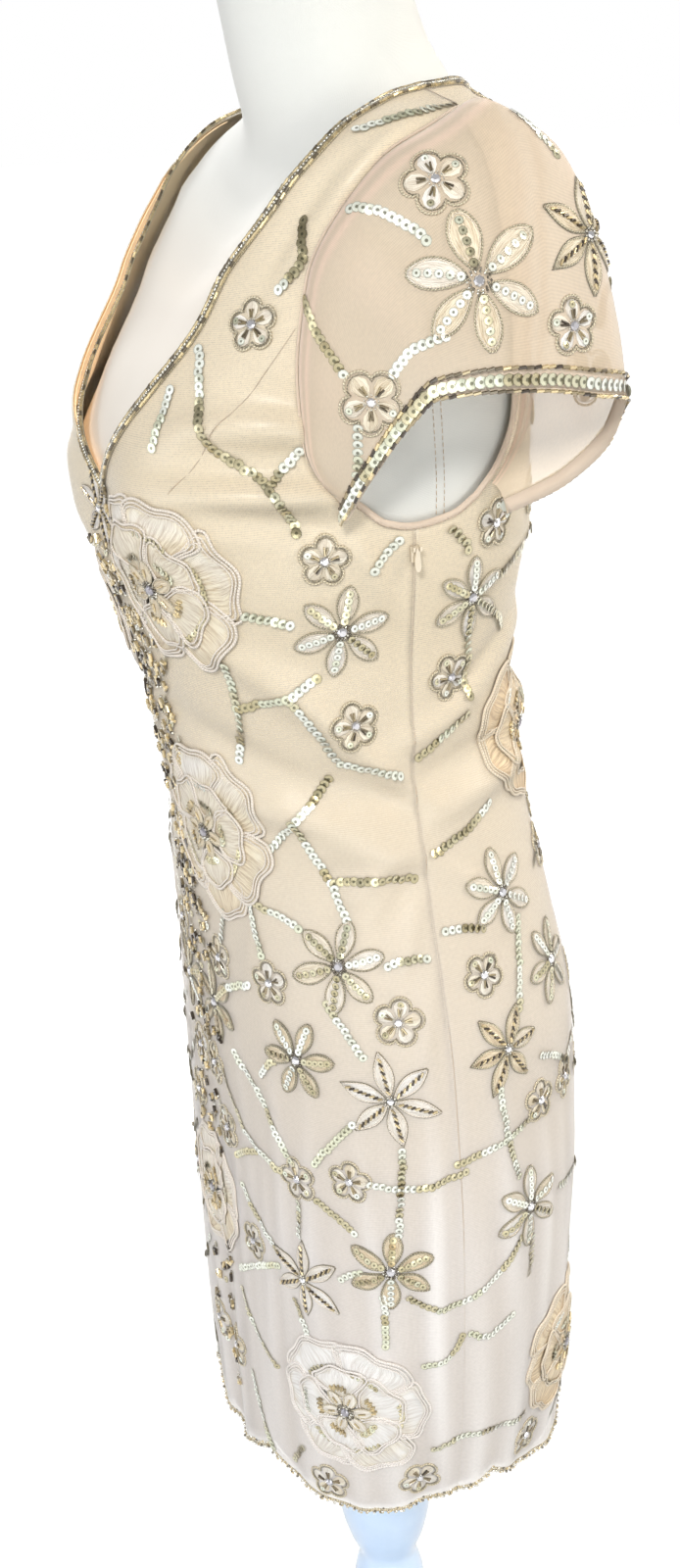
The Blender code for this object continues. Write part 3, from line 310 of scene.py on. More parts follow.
def skin_point(station, angle):
    """Point of the dress's smooth outer skin."""
    station, angle = np.broadcast_arrays(np.asarray(station, float), np.asarray(angle, float))
    angle = (angle + 270) % 360 - 270
    turn = np.radians(angle)
    c, s = np.cos(turn), np.sin(turn)
    behind = s >= 0
    depth = np.where(behind, section("back", station), section("front", station))
    full = np.where(behind, section("back_fullness", station), section("front_fullness", station))
    half = section("half_width", station)
    radius = (np.abs(c / half) ** full + np.abs(s / depth) ** full) ** (-1 / full)
    off_front = np.abs(np.abs(angle + 90) - BUST_ANGLE) / BUST_SPREAD
    off_level = (station - BUST_STATION) / BUST_HEIGHT
    radius = radius + BUST_LIFT * np.exp(-off_front ** 2 - off_level ** 2)
    side = section("side_height", station)
    end = np.where(behind, section("back_height", station), section("front_height", station))
    return np.stack([radius * c, section("centre", station) + radius * s,
                     side + (end - side) * s ** 2], axis=-1)


def skin_normal(station, angle):
    """Unit normal of the skin, pointing out."""
    up = skin_point(np.add(station, 0.002), angle) - skin_point(np.add(station, -0.002), angle)
    round_ = skin_point(station, np.add(angle, 1.0)) - skin_point(station, np.add(angle, -1.0))
    return unit(np.cross(round_, up))


def lifted(station, angle, lift):
    """Point of the skin moved out by lift."""
    return skin_point(station, angle) + np.asarray(lift)[..., None] * skin_normal(station, angle)


def skirt_fold(station, angle):
    """The skirt's own soft waves, deepest at the hem."""
    fade = np.clip((FOLD_TOP - np.asarray(station, float)) / (FOLD_TOP - HEM_HEIGHT), 0, 1) ** 1.4
    turn = np.radians(np.asarray(angle) - 90)
    return FOLD_DEPTH * fade * (np.cos(FOLD_COUNT * turn) + 0.45 * np.cos((FOLD_COUNT + 4) * turn)) / 1.45


def hem_station(angle):
    """Height of the scalloped lower edge of the cloth."""
    first = SCALLOP_NOTCHES[0]
    ends = np.array(SCALLOP_NOTCHES + (first + 360,), float)
    turn = (np.asarray(angle, float) - first) % 360 + first
    i = np.clip(np.searchsorted(ends, turn + 1e-6) - 1, 0, len(ends) - 2)
    lobe = np.sin(np.pi * np.clip((turn - ends[i]) / (ends[i + 1] - ends[i]), 0, 1))
    return HEM_HEIGHT + SCALLOP_DEPTH * (1 - lobe ** 0.75)


def wrapped(angle):
    """The same angle between -180 and 180."""
    return (np.asarray(angle, float) + 180) % 360 - 180


def both_halves(rows, station_shift, turn_shift, fade):
    """A table's rows, then their mirror images a little altered."""
    for k, row in enumerate(rows):
        yield row, False
        station = row[0] + station_shift * math.sin(3.1 * k)
        angle = 180 - row[1] + turn_shift * math.sin(2.3 * k + 1)
        yield (station, angle, *row[2:5], row[5] * (fade + 0.2 * math.sin(1.7 * k)), row[6]), True


def lay_creases(station, angle):
    """Height of the pressed creases."""
    height = np.zeros(np.broadcast(station, angle).shape)
    for (mid, where, run, tilt, width, high, bow), other in both_halves(CREASES, 0.006, 2.5, 0.85):
        arm = float(np.hypot(*skin_point(mid, where)[:2]))
        x = np.radians(wrapped(angle - where)) * arm * (-1 if other else 1)
        y = station - mid
        lean = math.radians(tilt)
        along_it, off = x * math.cos(lean) + y * math.sin(lean), y * math.cos(lean) - x * math.sin(lean)
        share = along_it / run
        off = off + bow * run * share ** 2 * 0.5
        height += (CREASE_DEPTH * high * np.exp(-(off / width / CREASE_SPREAD) ** 2)
                   * np.exp(-np.abs(share) ** 2.6))
    return np.maximum(height, DEEPEST_CREASE)


def lay_folds(station, angle):
    """Height of the loose mesh's folds above where it lies flat."""
    height = np.zeros(np.broadcast(station, angle).shape)
    for k, (where, top, high, width, lean) in enumerate(GAUZE):
        for other in (False, True):
            centre = 180 - where + 2 * math.sin(1.9 * k) if other else where
            drop = np.clip((top - station) / (top - HEM_HEIGHT), 0, 1.1)
            slip = lean * (-1 if other else 1) * drop + 0.8 * np.sin(9 * drop + k)
            off = wrapped(angle - centre - slip) / (width * (0.85 + 0.65 * drop))
            wave = 0.72 + 0.28 * np.sin(5.2 * drop + 2.7 * k)
            height += GAUZE_DEPTH * high * np.exp(-off ** 2) * np.minimum(drop * 2.1, 1.0) ** 1.3 * wave
    return height


def stand_off(station, angle):
    """The front's neckline standing a little off the form, more on the right."""
    right = np.abs(wrapped(angle)) > 90
    place = np.where(right, wrapped(180 - angle), wrapped(angle))
    edge = np.array(NECK_FRONT)
    off = np.clip((place - smooth(edge[:, 0], edge[:, 1], station)) * 0.0026, 0, None)
    reach = np.clip((station - 1.178) / 0.05, 0, 1) * np.clip((1.395 - station) / 0.07, 0, 1)
    reach = reach ** 2 * (3 - 2 * reach) * (np.abs(wrapped(angle + 90)) < 90)
    return np.where(right, 0.0105, 0.0030) * reach * np.exp(-(off / 0.019) ** 2)


RELIEF_STEP, RELIEF_TURN = 0.0020, 0.5
RELIEF_PLACES = np.arange(LOWEST, 1.562, RELIEF_STEP)[:, None], np.arange(-180, 180.1, RELIEF_TURN)[None]
CREASED = lay_creases(*RELIEF_PLACES) + stand_off(*RELIEF_PLACES)
FOLDED = lay_folds(*RELIEF_PLACES)


def relief(laid, station, angle):
    """A laid-out relief, read at places on the dress."""
    station, angle = np.broadcast_arrays(np.asarray(station, float), np.asarray(angle, float))
    row = np.clip((station - LOWEST) / RELIEF_STEP, 0, len(laid) - 1.001)
    column = (wrapped(angle) + 180) / RELIEF_TURN
    i, j = row.astype(int), np.minimum(column.astype(int), laid.shape[1] - 2)
    v, u = row - i, column - j
    return ((1 - v) * ((1 - u) * laid[i, j] + u * laid[i, j + 1])
            + v * ((1 - u) * laid[i + 1, j] + u * laid[i + 1, j + 1]))


def satin_point(station, angle, out=0.0):
    """Point on the satin."""
    lift = out - HALF_CLOTH + skirt_fold(station, angle) + relief(CREASED, station, angle)
    return lifted(station, angle, lift)


def mesh_point(station, angle, out=0.0):
    """Point on the sheer mesh over the satin."""
    hang = np.clip((0.93 - np.asarray(station, float)) / 0.30, 0, 1) ** 1.2
    hang = hang * (0.35 + 0.65 * np.clip((np.asarray(station) - HEM_HEIGHT) / 0.06, 0, 1))
    lift = (out - HALF_CLOTH + MESH_GAP + MESH_HANG * hang + skirt_fold(station, angle)
            + relief(CREASED, station, angle) + relief(FOLDED, station, angle))
    return lifted(station, angle, lift)


def along(points, t):
    """(station, angle) at shares t of the way along an edge's points."""
    points = np.array(points, float)
    length = lengths(points * DRESS_METRES)
    return smooth_path(length / length[-1], points, t)


def patch(bottom, top, left, right):
    """Coons patch between four edges given as arrays of (station, angle) pairs."""
    u = np.linspace(0, 1, len(bottom))[None, :, None]
    v = np.linspace(0, 1, len(left))[:, None, None]
    across = (1 - v) * bottom[None] + v * top[None]
    upward = (1 - u) * left[:, None] + u * right[:, None]
    corners = ((1 - u) * (1 - v) * bottom[0] + u * (1 - v) * bottom[-1]
               + (1 - u) * v * top[0] + u * v * top[-1])
    return across + upward - corners


def evenly(path, step, closed=False):
    """A path's points again, evenly spaced about a step apart."""
    path = np.asarray(path, float)
    if closed:
        path = np.concatenate([path, path[:1]])
    length = lengths(path)
    count = max(int(round(length[-1] / step)), 3)
    where = np.linspace(0, length[-1], count + 1)[:-1 if closed else None]
    return np.stack([np.interp(where, length, column) for column in path.T], axis=-1)


def evenly_out(path, normals, step, closed=False):
    """A path's points and unit normals again, evenly spaced; the normals don't count in its length."""
    both = evenly(np.concatenate([path, normals * 1e-6], axis=1), step, closed)
    return both[:, :3], unit(both[:, 3:])


class Ground:
    """A cloth that work is sewn to, with metres laid out on it from any place."""

    def __init__(self, point, span, outside=1.0, plain=None):
        self.point, self.span, self.outside, self.plain = point, span, outside, plain or point

    def lie(self, point, up, round_):
        """Slopes up and round, and the unit normal, at places on the cloth."""
        du, dr = self.span
        rise = (point(up + du, round_) - point(up - du, round_)) / (2 * du)
        turn = (point(up, round_ + dr) - point(up, round_ - dr)) / (2 * dr)
        return rise, turn, unit(np.cross(turn, rise)) * self.outside

    def walk(self, place, flat, steps=5):
        """Where flat (right, up) metres from a place come to lie."""
        up = np.full(len(flat), float(place[0]))
        round_ = np.full(len(flat), float(place[1]))
        for _ in range(steps):
            rise, turn, normal = self.lie(self.plain, up, round_)
            upward = unit(rise)
            right = np.cross(upward, normal)
            by_turn = flat[:, 0] / steps / dot(turn, right)
            up = up + (flat[:, 1] / steps - dot(turn, upward) * by_turn) / np.linalg.norm(rise, axis=-1)
            round_ = round_ + by_turn
        return up, round_

    def stand(self, up, round_, lift):
        """Points at heights above the cloth, with right, up and out directions."""
        rise, _, normal = self.lie(self.point, up, round_)
        upward = unit(rise)
        return (self.point(up, round_) + np.asarray(lift)[..., None] * normal,
                np.cross(upward, normal), upward, normal)


# ---------------------------------------------------------------- shader kit
def maths(operation, turned=False):
    """A method of Value that makes one maths node; turned swaps its two numbers."""

    def method(self, other=None):
        pair = (other, self) if turned else (self, other)
        inputs = {0: self} if other is None else dict(enumerate(pair))
        return self.nodes.value("ShaderNodeMath", {"operation": operation}, inputs)
    return method


class Value:
    """A shader number, so that shader maths reads as Python."""

    def __init__(self, nodes, socket):
        self.nodes, self.socket = nodes, socket

    __add__, __radd__ = maths("ADD"), maths("ADD", True)
    __sub__, __rsub__ = maths("SUBTRACT"), maths("SUBTRACT", True)
    __mul__, __rmul__ = maths("MULTIPLY"), maths("MULTIPLY", True)
    __truediv__, __pow__ = maths("DIVIDE"), maths("POWER")
    wave, least, most = maths("SINE"), maths("MINIMUM"), maths("MAXIMUM")

    def share(self):
        """The number, kept between 0 and 1."""
        return self.most(0.0).least(1.0)


class Nodes:
    """A node tree, built a node at a time."""

    def __init__(self, tree):
        self.tree = tree

    def feed(self, socket, value):
        """Link a number or socket to a socket, or set it."""
        if isinstance(value, Value):
            value = value.socket
        if isinstance(value, bpy.types.NodeSocket):
            self.tree.links.new(value, socket)
        elif isinstance(value, tuple) and len(value) == 3 and socket.type == "RGBA":
            socket.default_value = (*value, 1.0)
        else:
            socket.default_value = value

    def node(self, kind, settings=None, inputs=None):
        """A new node with its settings, a ramp's stops among them, and its inputs."""
        made = self.tree.nodes.new(kind)
        for name, value in (settings or {}).items():
            if name == "stops":
                ramp = made.color_ramp
                while len(ramp.elements) < len(value):
                    ramp.elements.new(0.5)
                for element, (where, colour) in zip(ramp.elements, value):
                    element.position, element.color = where, (*colour, 1.0)
            else:
                setattr(made, name, value)
        for name, value in (inputs or {}).items():
            self.feed(made.inputs[name], value)
        return made

    def value(self, kind, settings=None, inputs=None, output=0):
        """One output of a new node."""
        return Value(self, self.node(kind, settings, inputs).outputs[output])


class Look(Nodes):
    """A finish: one Principled shader and the nodes that vary it."""

    def __init__(self, name, **settings):
        self.material = bpy.data.materials.new(name)
        self.material.use_nodes = True
        super().__init__(self.material.node_tree)
        self.shader = next(n for n in self.tree.nodes if n.type == "BSDF_PRINCIPLED")
        self.set(**settings)

    def set(self, **settings):
        """Feed the shader's inputs, named with _ for each space."""
        for name, value in settings.items():
            self.feed(self.shader.inputs[name.replace("_", " ")], value)

    def attribute(self, name):
        return self.value("ShaderNodeAttribute", {"attribute_name": name}, output="Fac")

    def place(self, scale=(1.0, 1.0, 1.0), cloth=False):
        """Object coordinates, or the cloth's own, stretched."""
        where = self.node("ShaderNodeTexCoord").outputs["UV" if cloth else "Object"]
        return self.node("ShaderNodeMapping", None, {"Vector": where, "Scale": scale}).outputs[0]

    def parts(self, cloth=False):
        """The three coordinates of place, each as a number."""
        split = self.node("ShaderNodeSeparateXYZ", None, {0: self.place(cloth=cloth)})
        return [Value(self, split.outputs[k]) for k in range(3)]

    def noise(self, scale, detail=2.0, roughness=0.5, stretch=(1.0, 1.0, 1.0), cloth=False):
        return self.value("ShaderNodeTexNoise", None, {
            "Vector": self.place(stretch, cloth), "Scale": scale, "Detail": detail, "Roughness": roughness})

    def blend(self, share, first, second):
        """From the first colour to the second."""
        return self.node("ShaderNodeMix", {"data_type": "RGBA"}, {0: share, 6: first, 7: second}).outputs[2]

    def ramp(self, share, *stops):
        return self.node("ShaderNodeValToRGB", {"stops": stops}, {0: share}).outputs[0]

    def bump(self, height, distance, strength=1.0, over=None):
        inputs = {"Height": height, "Distance": distance, "Strength": strength}
        if over is not None:
            inputs["Normal"] = over
        return self.node("ShaderNodeBump", None, inputs).outputs[0]


def satin_look(name, light, deep, **more):
    """Satin: a fine weave with soft, broad highlights."""
    look = Look(name, Sheen_Weight=0.15, Sheen_Roughness=0.4, Specular_IOR_Level=0.6, **more)
    tint = look.noise(9.0, 3.0)
    look.set(Base_Color=look.blend(tint, deep, light),
             Roughness=0.33 + 0.12 * look.noise(26.0, 2.0))
    x, y, _ = look.parts(cloth=True)
    weave = (x * 5200.0).wave() * 0.5 + (y * 5200.0 + (x * 2600.0).wave()).wave() * 0.5
    grain = look.noise(900.0, 2.0, stretch=(1.0, 0.3, 1.0), cloth=True)
    look.set(Normal=look.bump(weave * 0.4 + grain, 0.00006, 0.7,
                              look.bump(look.noise(34.0, 3.0), 0.0006, 0.25)))
    return look.material


def sheer_look(name, light, deep, opacity, more, gathered, dense):
    """Fine net: see-through cells between the threads, denser and of another tint where it gathers."""
    look = Look(name, Specular_IOR_Level=0.25, Sheen_Weight=0.5, Sheen_Roughness=0.45,
                Subsurface_Weight=0.0)
    gather = look.attribute("gather")
    x, y, _ = look.parts(cloth=True)
    net = ((x + y * 0.58) * 4300.0).wave() * ((x - y * 0.58) * 4300.0).wave()
    grain = look.noise(420.0, 3.0, 0.6, cloth=True)
    cloud = look.noise(16.0, 2.0)
    _, _, height = look.parts()
    low = ((1.10 - height) / 0.44).share()
    upper = look.blend((gather * gathered).least(1.0), look.blend(cloud, deep, light), dense)
    lower = look.blend(gather, (0.830, 0.780, 0.770), (0.945, 0.920, 0.912))
    cover = opacity + net * 0.07 + (grain - 0.5) * 0.17 + gather * more + low * 0.42
    look.set(Base_Color=look.blend(low * 0.85, upper, lower),
             Roughness=0.62 + 0.2 * grain,
             Alpha=cover.least(0.96).most(0.05),
             Normal=look.bump(net * 0.5 + grain, 0.00010, 0.6))
    return look.material


def jersey_look():
    """White knitted jersey stretched on the form; at the chest a painted warm tint stands for bounce light
    from the satin in front of it.
    """
    look = Look("white jersey", Sheen_Weight=0.3, Sheen_Roughness=0.6)
    x, y, z = look.parts()
    rib = ((x + y * 0.7) * 3600.0).wave() * (z * 4200.0).wave()
    white = look.blend(look.noise(7.0, 3.0), (0.705, 0.712, 0.685), (0.775, 0.785, 0.762))
    # painted bounce light: the satin's warm colour cast on the front of the chest
    painted_bounce = ((-0.03 - y) * 20.0).share() * ((1.43 - z) * 8.0).share()
    look.set(Base_Color=look.blend(painted_bounce * 0.75, white, (0.790, 0.715, 0.630)),
             Roughness=0.84 + 0.1 * look.noise(160.0),
             Normal=look.bump(rib * 0.5 + look.noise(900.0, 2.0), 0.00010, 0.7))
    return look.material


def lacquer_look():
    """White lacquer of the stand, with a faint orange peel and rubbed patches; its base colour is pale blue,
    painted cool shade on the white.
    """
    look = Look("white lacquer", Coat_Weight=0.6, Coat_Roughness=0.12)
    wear = look.noise(60.0, 4.0, 0.65)
    # both colours are pale blue: painted cool shade on the white; wear varies them at random
    look.set(Base_Color=look.blend(wear, (0.560, 0.710, 0.940), (0.660, 0.800, 0.990)),
             Roughness=0.26 + 0.2 * look.noise(18.0, 3.0),
             Normal=look.bump(look.noise(240.0, 2.0), 0.00008, 0.35))
    return look.material


def sequin_look():
    """Flat sequins, from near-white through pale gold to olive, with painted shade in the thread holes and
    along the rims; the near-white is partly the sequins' own pale colour and partly painted reflection.
    """
    look = Look("lustre sequins", Specular_IOR_Level=0.7)
    tone, hole = look.attribute("tone"), look.attribute("hole")
    shimmer = look.noise(220.0, 1.0)
    # painted shade: dark in each thread hole, and a thin dark line along each rim
    painted_hole_rim_shade = ((hole - 0.80) * 9.0).share() * 0.85 + ((0.22 - hole) * 8.0).share() * 0.52
    # the near-white end of the ramp is partly the sequins' own pale colour, partly painted reflection
    face = look.ramp(tone, (0.0, (0.900, 0.920, 0.860)), (0.30, (0.700, 0.720, 0.560)),
                     (0.55, (0.610, 0.555, 0.370)), (0.80, (0.420, 0.365, 0.215)),
                     (1.0, (0.360, 0.250, 0.130)))
    look.set(Base_Color=look.blend(painted_hole_rim_shade, face, (0.100, 0.095, 0.050)),
             Metallic=(tone * 0.9 + 0.15).least(0.85),
             Roughness=0.20 + 0.16 * shimmer, Coat_Weight=0.3 + 0.2 * shimmer)
    return look.material


def bead_look(name, light, dark, metal, rough):
    """Glass or metal-lined beads, each of its own tone."""
    look = Look(name, Specular_IOR_Level=0.6, Coat_Weight=0.4, Coat_Roughness=0.08)
    tone = look.attribute("tone")
    look.set(Base_Color=look.blend(tone, light, dark), Metallic=(1.0 - tone * 0.6) * metal,
             Roughness=rough + 0.12 * look.noise(500.0, 1.0))
    return look.material


def cord_look():
    """Twisted embroidery cord: cream pink, pale gold or bronze by its tone, with painted shade in the grooves
    of its twist.
    """
    look = Look("twisted cord", Sheen_Weight=0.3, Specular_IOR_Level=0.5)
    tone = look.attribute("tone")
    x, y, _ = look.parts(cloth=True)
    twist = (x * 3300.0 + y * 6.2832).wave()
    base = look.ramp(tone, (0.0, (0.940, 0.890, 0.850)), (0.25, (0.890, 0.775, 0.600)),
                     (0.55, (0.660, 0.600, 0.440)), (0.80, (0.230, 0.195, 0.130)),
                     (1.0, (0.070, 0.055, 0.040)))
    # painted shade: darker colours laid in the grooves between the twist's plies
    shade = look.ramp(tone, (0.0, (0.800, 0.720, 0.660)), (0.25, (0.680, 0.540, 0.360)),
                      (0.55, (0.270, 0.225, 0.140)), (0.80, (0.070, 0.058, 0.038)),
                      (1.0, (0.020, 0.016, 0.012)))
    look.set(Base_Color=look.blend(0.62 + 0.38 * twist, shade, base),
             Metallic=(tone * 1.1 - 0.25).most(0.0).least(0.6),
             Roughness=0.46 - 0.16 * tone, Normal=look.bump(twist, 0.0003, 0.7))
    return look.material


def silk_look():
    """Padded satin stitch: close-laid threads, with painted highlights and shade in streaks along them where
    they catch the light.
    """
    look = Look("satin stitch", Sheen_Weight=0.10, Sheen_Roughness=0.35, Specular_IOR_Level=0.35)
    tone = look.attribute("tone")
    x, _, _ = look.parts(cloth=True)
    wander = look.noise(120.0, 2.0, cloth=True)
    thread = (x * 6200.0 + wander * 16.0).wave()
    streak = look.noise(640.0, 3.0, 0.65, stretch=(1.0, 0.09, 1.0), cloth=True)
    patchy = look.noise(150.0, 3.0, 0.6, stretch=(1.0, 0.3, 1.0), cloth=True)
    base = look.ramp(tone, (0.0, (0.960, 0.940, 0.920)), (0.25, (0.930, 0.840, 0.660)),
                     (0.55, (0.900, 0.720, 0.490)), (0.80, (0.800, 0.600, 0.380)),
                     (1.0, (0.480, 0.350, 0.210)))
    # deep: the colours of the painted shade
    deep = look.ramp(tone, (0.0, (0.720, 0.670, 0.630)), (0.25, (0.540, 0.410, 0.260)),
                     (0.55, (0.520, 0.360, 0.220)), (0.80, (0.420, 0.270, 0.150)),
                     (1.0, (0.200, 0.135, 0.080)))
    # painted highlights and shade: streaks and patches between the deep and base colours, with the threads'
    # lines
    lit = (streak - 0.5) * 3.2 + (patchy - 0.5) * 1.4 + thread * 0.10 + 0.68
    look.set(Base_Color=look.blend(lit.share(), deep, base),
             Roughness=0.42 + 0.18 * patchy,
             Normal=look.bump(thread * 0.5 + streak * 2.0, 0.00035, 0.75))
    return look.material


def binding_look(name, light, dark):
    """Nude woven binding and tape, folded and stitched."""
    look = Look(name, Sheen_Weight=0.25)
    x, y, _ = look.parts(cloth=True)
    twill = ((x + y * 0.4) * 4200.0).wave()
    look.set(Base_Color=look.blend(look.noise(80.0, 3.0), dark, light),
             Roughness=0.55 + 0.15 * look.noise(300.0),
             Normal=look.bump(twill, 0.00012, 0.5, look.bump(look.noise(90.0), 0.0006, 0.3)))
    return look.material


def zip_metal_look():
    """Nude lacquered metal, rubbed brighter in patches at random."""
    look = Look("nude lacquered metal", Coat_Weight=0.4, Coat_Roughness=0.15)
    rub = look.noise(700.0, 3.0)
    look.set(Base_Color=look.blend(rub, (0.64, 0.55, 0.42), (0.79, 0.71, 0.57)), Metallic=0.25 + 0.2 * rub,
             Roughness=0.26 + 0.18 * rub, Normal=look.bump(look.noise(1200.0), 0.00004, 0.4))
    return look.material


def floor_look():
    """Grey floor that brightens to white in the distance."""
    look = Look("pale floor", Specular_IOR_Level=0.1)
    x, y, _ = look.parts()
    far = (((x * x + y * y) ** 0.5 - 0.6) / 3.0).share()
    look.set(Base_Color=look.blend(look.noise(1.2, 2.0), (0.44, 0.44, 0.44), (0.46, 0.46, 0.46)),
             Roughness=0.85, Emission_Strength=1.0,
             Emission_Color=look.blend(far, (0.52, 0.52, 0.52), (0.99, 0.99, 0.99)))
    return look.material


SATIN = satin_look("champagne satin", (0.815, 0.730, 0.560), (0.755, 0.665, 0.490))
# The facing's emission is a painted glow, standing in for daylight through the cloth
PEACH = satin_look("peach facing satin", (0.950, 0.760, 0.540), (0.900, 0.690, 0.460),
                   Emission_Color=(0.900, 0.620, 0.360), Emission_Strength=0.50)
SHEER = sheer_look("sheer mesh over satin", (0.840, 0.760, 0.670), (0.760, 0.660, 0.550),
                   0.26, 0.36, 0.9, (0.880, 0.825, 0.760))
SLEEVE_NET = sheer_look("sheer sleeve mesh", (0.790, 0.665, 0.505), (0.740, 0.600, 0.450),
                        0.70, 0.26, 1.0, (0.820, 0.620, 0.500))
JERSEY = jersey_look()
LACQUER = lacquer_look()
SEQUIN = sequin_look()
BRONZE = bead_look("bronze bugle beads", (0.830, 0.680, 0.400), (0.050, 0.036, 0.024), 0.75, 0.22)
SILVER = bead_look("silver-lined seed beads", (0.820, 0.800, 0.720), (0.120, 0.100, 0.070), 0.70, 0.20)
CRYSTAL = bead_look("foiled crystals", (0.900, 0.900, 0.930), (0.300, 0.280, 0.320), 0.80, 0.04)
CORD = cord_look()
SILK = silk_look()
BINDING = binding_look("nude binding", (0.830, 0.690, 0.560), (0.760, 0.610, 0.480))
TAPE = binding_look("zip tape", (0.740, 0.620, 0.500), (0.640, 0.520, 0.400))
THREAD = binding_look("sewing thread", (0.690, 0.570, 0.440), (0.580, 0.450, 0.330))
ZIP_METAL = zip_metal_look()


# ---------------------------------------------------------------- making pieces
def finish_piece(piece, instead_of=()):
    """Hand a finished piece to the frame."""
    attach(piece, DRESS_BODY)
    if instead_of:
        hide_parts(*instead_of)
    return piece


def show(name, mesh):
    """A new object of a mesh, in the scene."""
    made = bpy.data.objects.new(name, mesh)
    bpy.context.scene.collection.objects.link(made)
    return made


def faces_between(index, flip=False):
    """Four-cornered faces between neighbouring rows and columns of point numbers."""
    corners = index[:-1, :-1], index[:-1, 1:], index[1:, 1:], index[1:, :-1]
    faces = np.stack([k.reshape(-1) for k in corners], axis=-1)
    return faces[:, ::-1] if flip else faces


def rings_round(radii, heights, count):
    """Rings of points round the upright axis."""
    turns = np.linspace(0, 2 * np.pi, count, endpoint=False)
    radii, heights = np.reshape(radii, (-1, 1)), np.reshape(heights, (-1, 1))
    return np.stack(np.broadcast_arrays(radii * np.cos(turns), radii * np.sin(turns), heights), axis=-1)


class Bundle:
    """Surfaces gathered into one piece, with a cloth map and a tone or gather at each point."""

    def __init__(self):
        self.points, self.faces, self.maps, self.tones, self.count = [], [], [], [], 0

    def add(self, points, faces, maps, tone):
        """Points with their maps and tones, and faces that count from the first of them."""
        points = np.asarray(points, float).reshape(-1, 3)
        self.points.append(points)
        self.faces.extend((np.asarray(faces) + self.count).tolist())
        self.maps.append(np.asarray(maps, float).reshape(-1, 2))
        self.tones.append(np.broadcast_to(np.asarray(tone, float).reshape(-1), (len(points),)))
        self.count += len(points)

    def grid(self, grid, maps, tone=0.0, flip=False, around=False):
        """Rows of points; around joins each row's end to its start."""
        grid = np.asarray(grid)
        index = np.arange(grid.shape[0] * grid.shape[1]).reshape(grid.shape[:2])
        if around:
            index = np.pad(index, ((0, 0), (0, 1)), "wrap")
        self.add(grid, faces_between(index, flip), maps, tone)

    def tube(self, path, normals, width, height, tone=0.0, closed=False, sides=5):
        """Cord laid along a path: width along the surface, height off it."""
        ahead = heading(path, closed)
        if closed:
            path, normals, ahead = (np.concatenate([rows, rows[:1]]) for rows in (path, normals, ahead))
        across = unit(np.cross(normals, ahead))
        turns = 2 * np.pi * (np.arange(sides) + 0.5) / sides
        width, height = (np.reshape(np.asarray(size, float), (-1, 1, 1)) for size in (width, height))
        rings = (path[:, None] + across[:, None] * np.cos(turns)[None, :, None] * width / 2
                 + normals[:, None] * np.sin(turns)[None, :, None] * height / 2)
        maps = np.stack(np.broadcast_arrays(lengths(path)[:, None], np.arange(sides) / sides), axis=-1)
        if closed:
            index = np.arange((len(path) - 1) * sides).reshape(-1, sides)
            self.add(rings[:-1], faces_between(np.pad(index, ((0, 1), (0, 1)), "wrap")), maps[:-1], tone)
        else:
            self.grid(rings, maps, tone, around=True)
            start = self.count - len(path) * sides
            self.faces.append(list(range(start, start + sides))[::-1])
            self.faces.append(list(range(self.count - sides, self.count)))

    def mesh(self, name, channel="tone", merge=0.0, turn_out=False):
        """The surfaces as one mesh; merge joins points that meet, turn_out turns its faces outwards."""
        made = bpy.data.meshes.new(name)
        made.from_pydata(np.concatenate(self.points).tolist(), [], self.faces)
        maps = np.concatenate(self.maps)
        corner = np.empty(len(made.loops), dtype=np.int32)
        made.loops.foreach_get("vertex_index", corner)
        layer = made.uv_layers.new(name="cloth")
        layer.data.foreach_set("uv", maps[corner].astype(np.float32).reshape(-1))
        tones = made.attributes.new(channel, "FLOAT", "POINT")
        tones.data.foreach_set("value", np.concatenate(self.tones).astype(np.float32))
        if merge or turn_out:
            bm = bmesh.new()
            bm.from_mesh(made)
            if merge:
                bmesh.ops.remove_doubles(bm, verts=bm.verts, dist=merge)
            if turn_out:
                bmesh.ops.recalc_face_normals(bm, faces=bm.faces)
            bm.to_mesh(made)
            bm.free()
        made.shade_smooth()
        return made

    def piece(self, name, finish, slot, instead_of=(), **how):
        """The surfaces as a finished piece of the dress."""
        made = show(name, self.mesh(name, **how))
        made.data.materials.append(finish)
        return finish_piece(made, instead_of)


def add_wall(piece, thickness):
    """Give a sheet its thickness, inwards."""
    solid = piece.modifiers.new("cloth thickness", "SOLIDIFY")
    solid.thickness, solid.offset = thickness, -1


# ---------------------------------------------------------------- things sewn on one by one
def small_mesh(name, points, faces, soft=False):
    """A bead's own object, outside the scene."""
    mesh = bpy.data.meshes.new(name)
    mesh.from_pydata(points, [], faces)
    for face in mesh.polygons:
        face.use_smooth = soft
    return bpy.data.objects.new(name, mesh)


def ring_points(radius, height, sides, start=0.0):
    """Points of a level polygon."""
    turns = [2 * math.pi * (k + start) / sides for k in range(sides)]
    return [(radius * math.cos(turn), radius * math.sin(turn), height) for turn in turns]


def drum_faces(sides):
    """Faces between two rings of points, and one across each."""
    faces = [(k, (k + 1) % sides, sides + (k + 1) % sides, sides + k) for k in range(sides)]
    return faces + [tuple(range(sides))[::-1], tuple(range(sides, 2 * sides))]


def sequin_mesh():
    """Flat cupped disc of radius 1, with the thread's hole marked for the finish."""
    sides = 9
    points = ring_points(1, 0, sides) + ring_points(0.20, 0.07, sides)
    made = small_mesh("one sequin", points, drum_faces(sides))
    hole = made.data.attributes.new("hole", "FLOAT", "POINT").data
    hole.foreach_set("value", [0.0] * sides + [1.0] * sides)
    return made


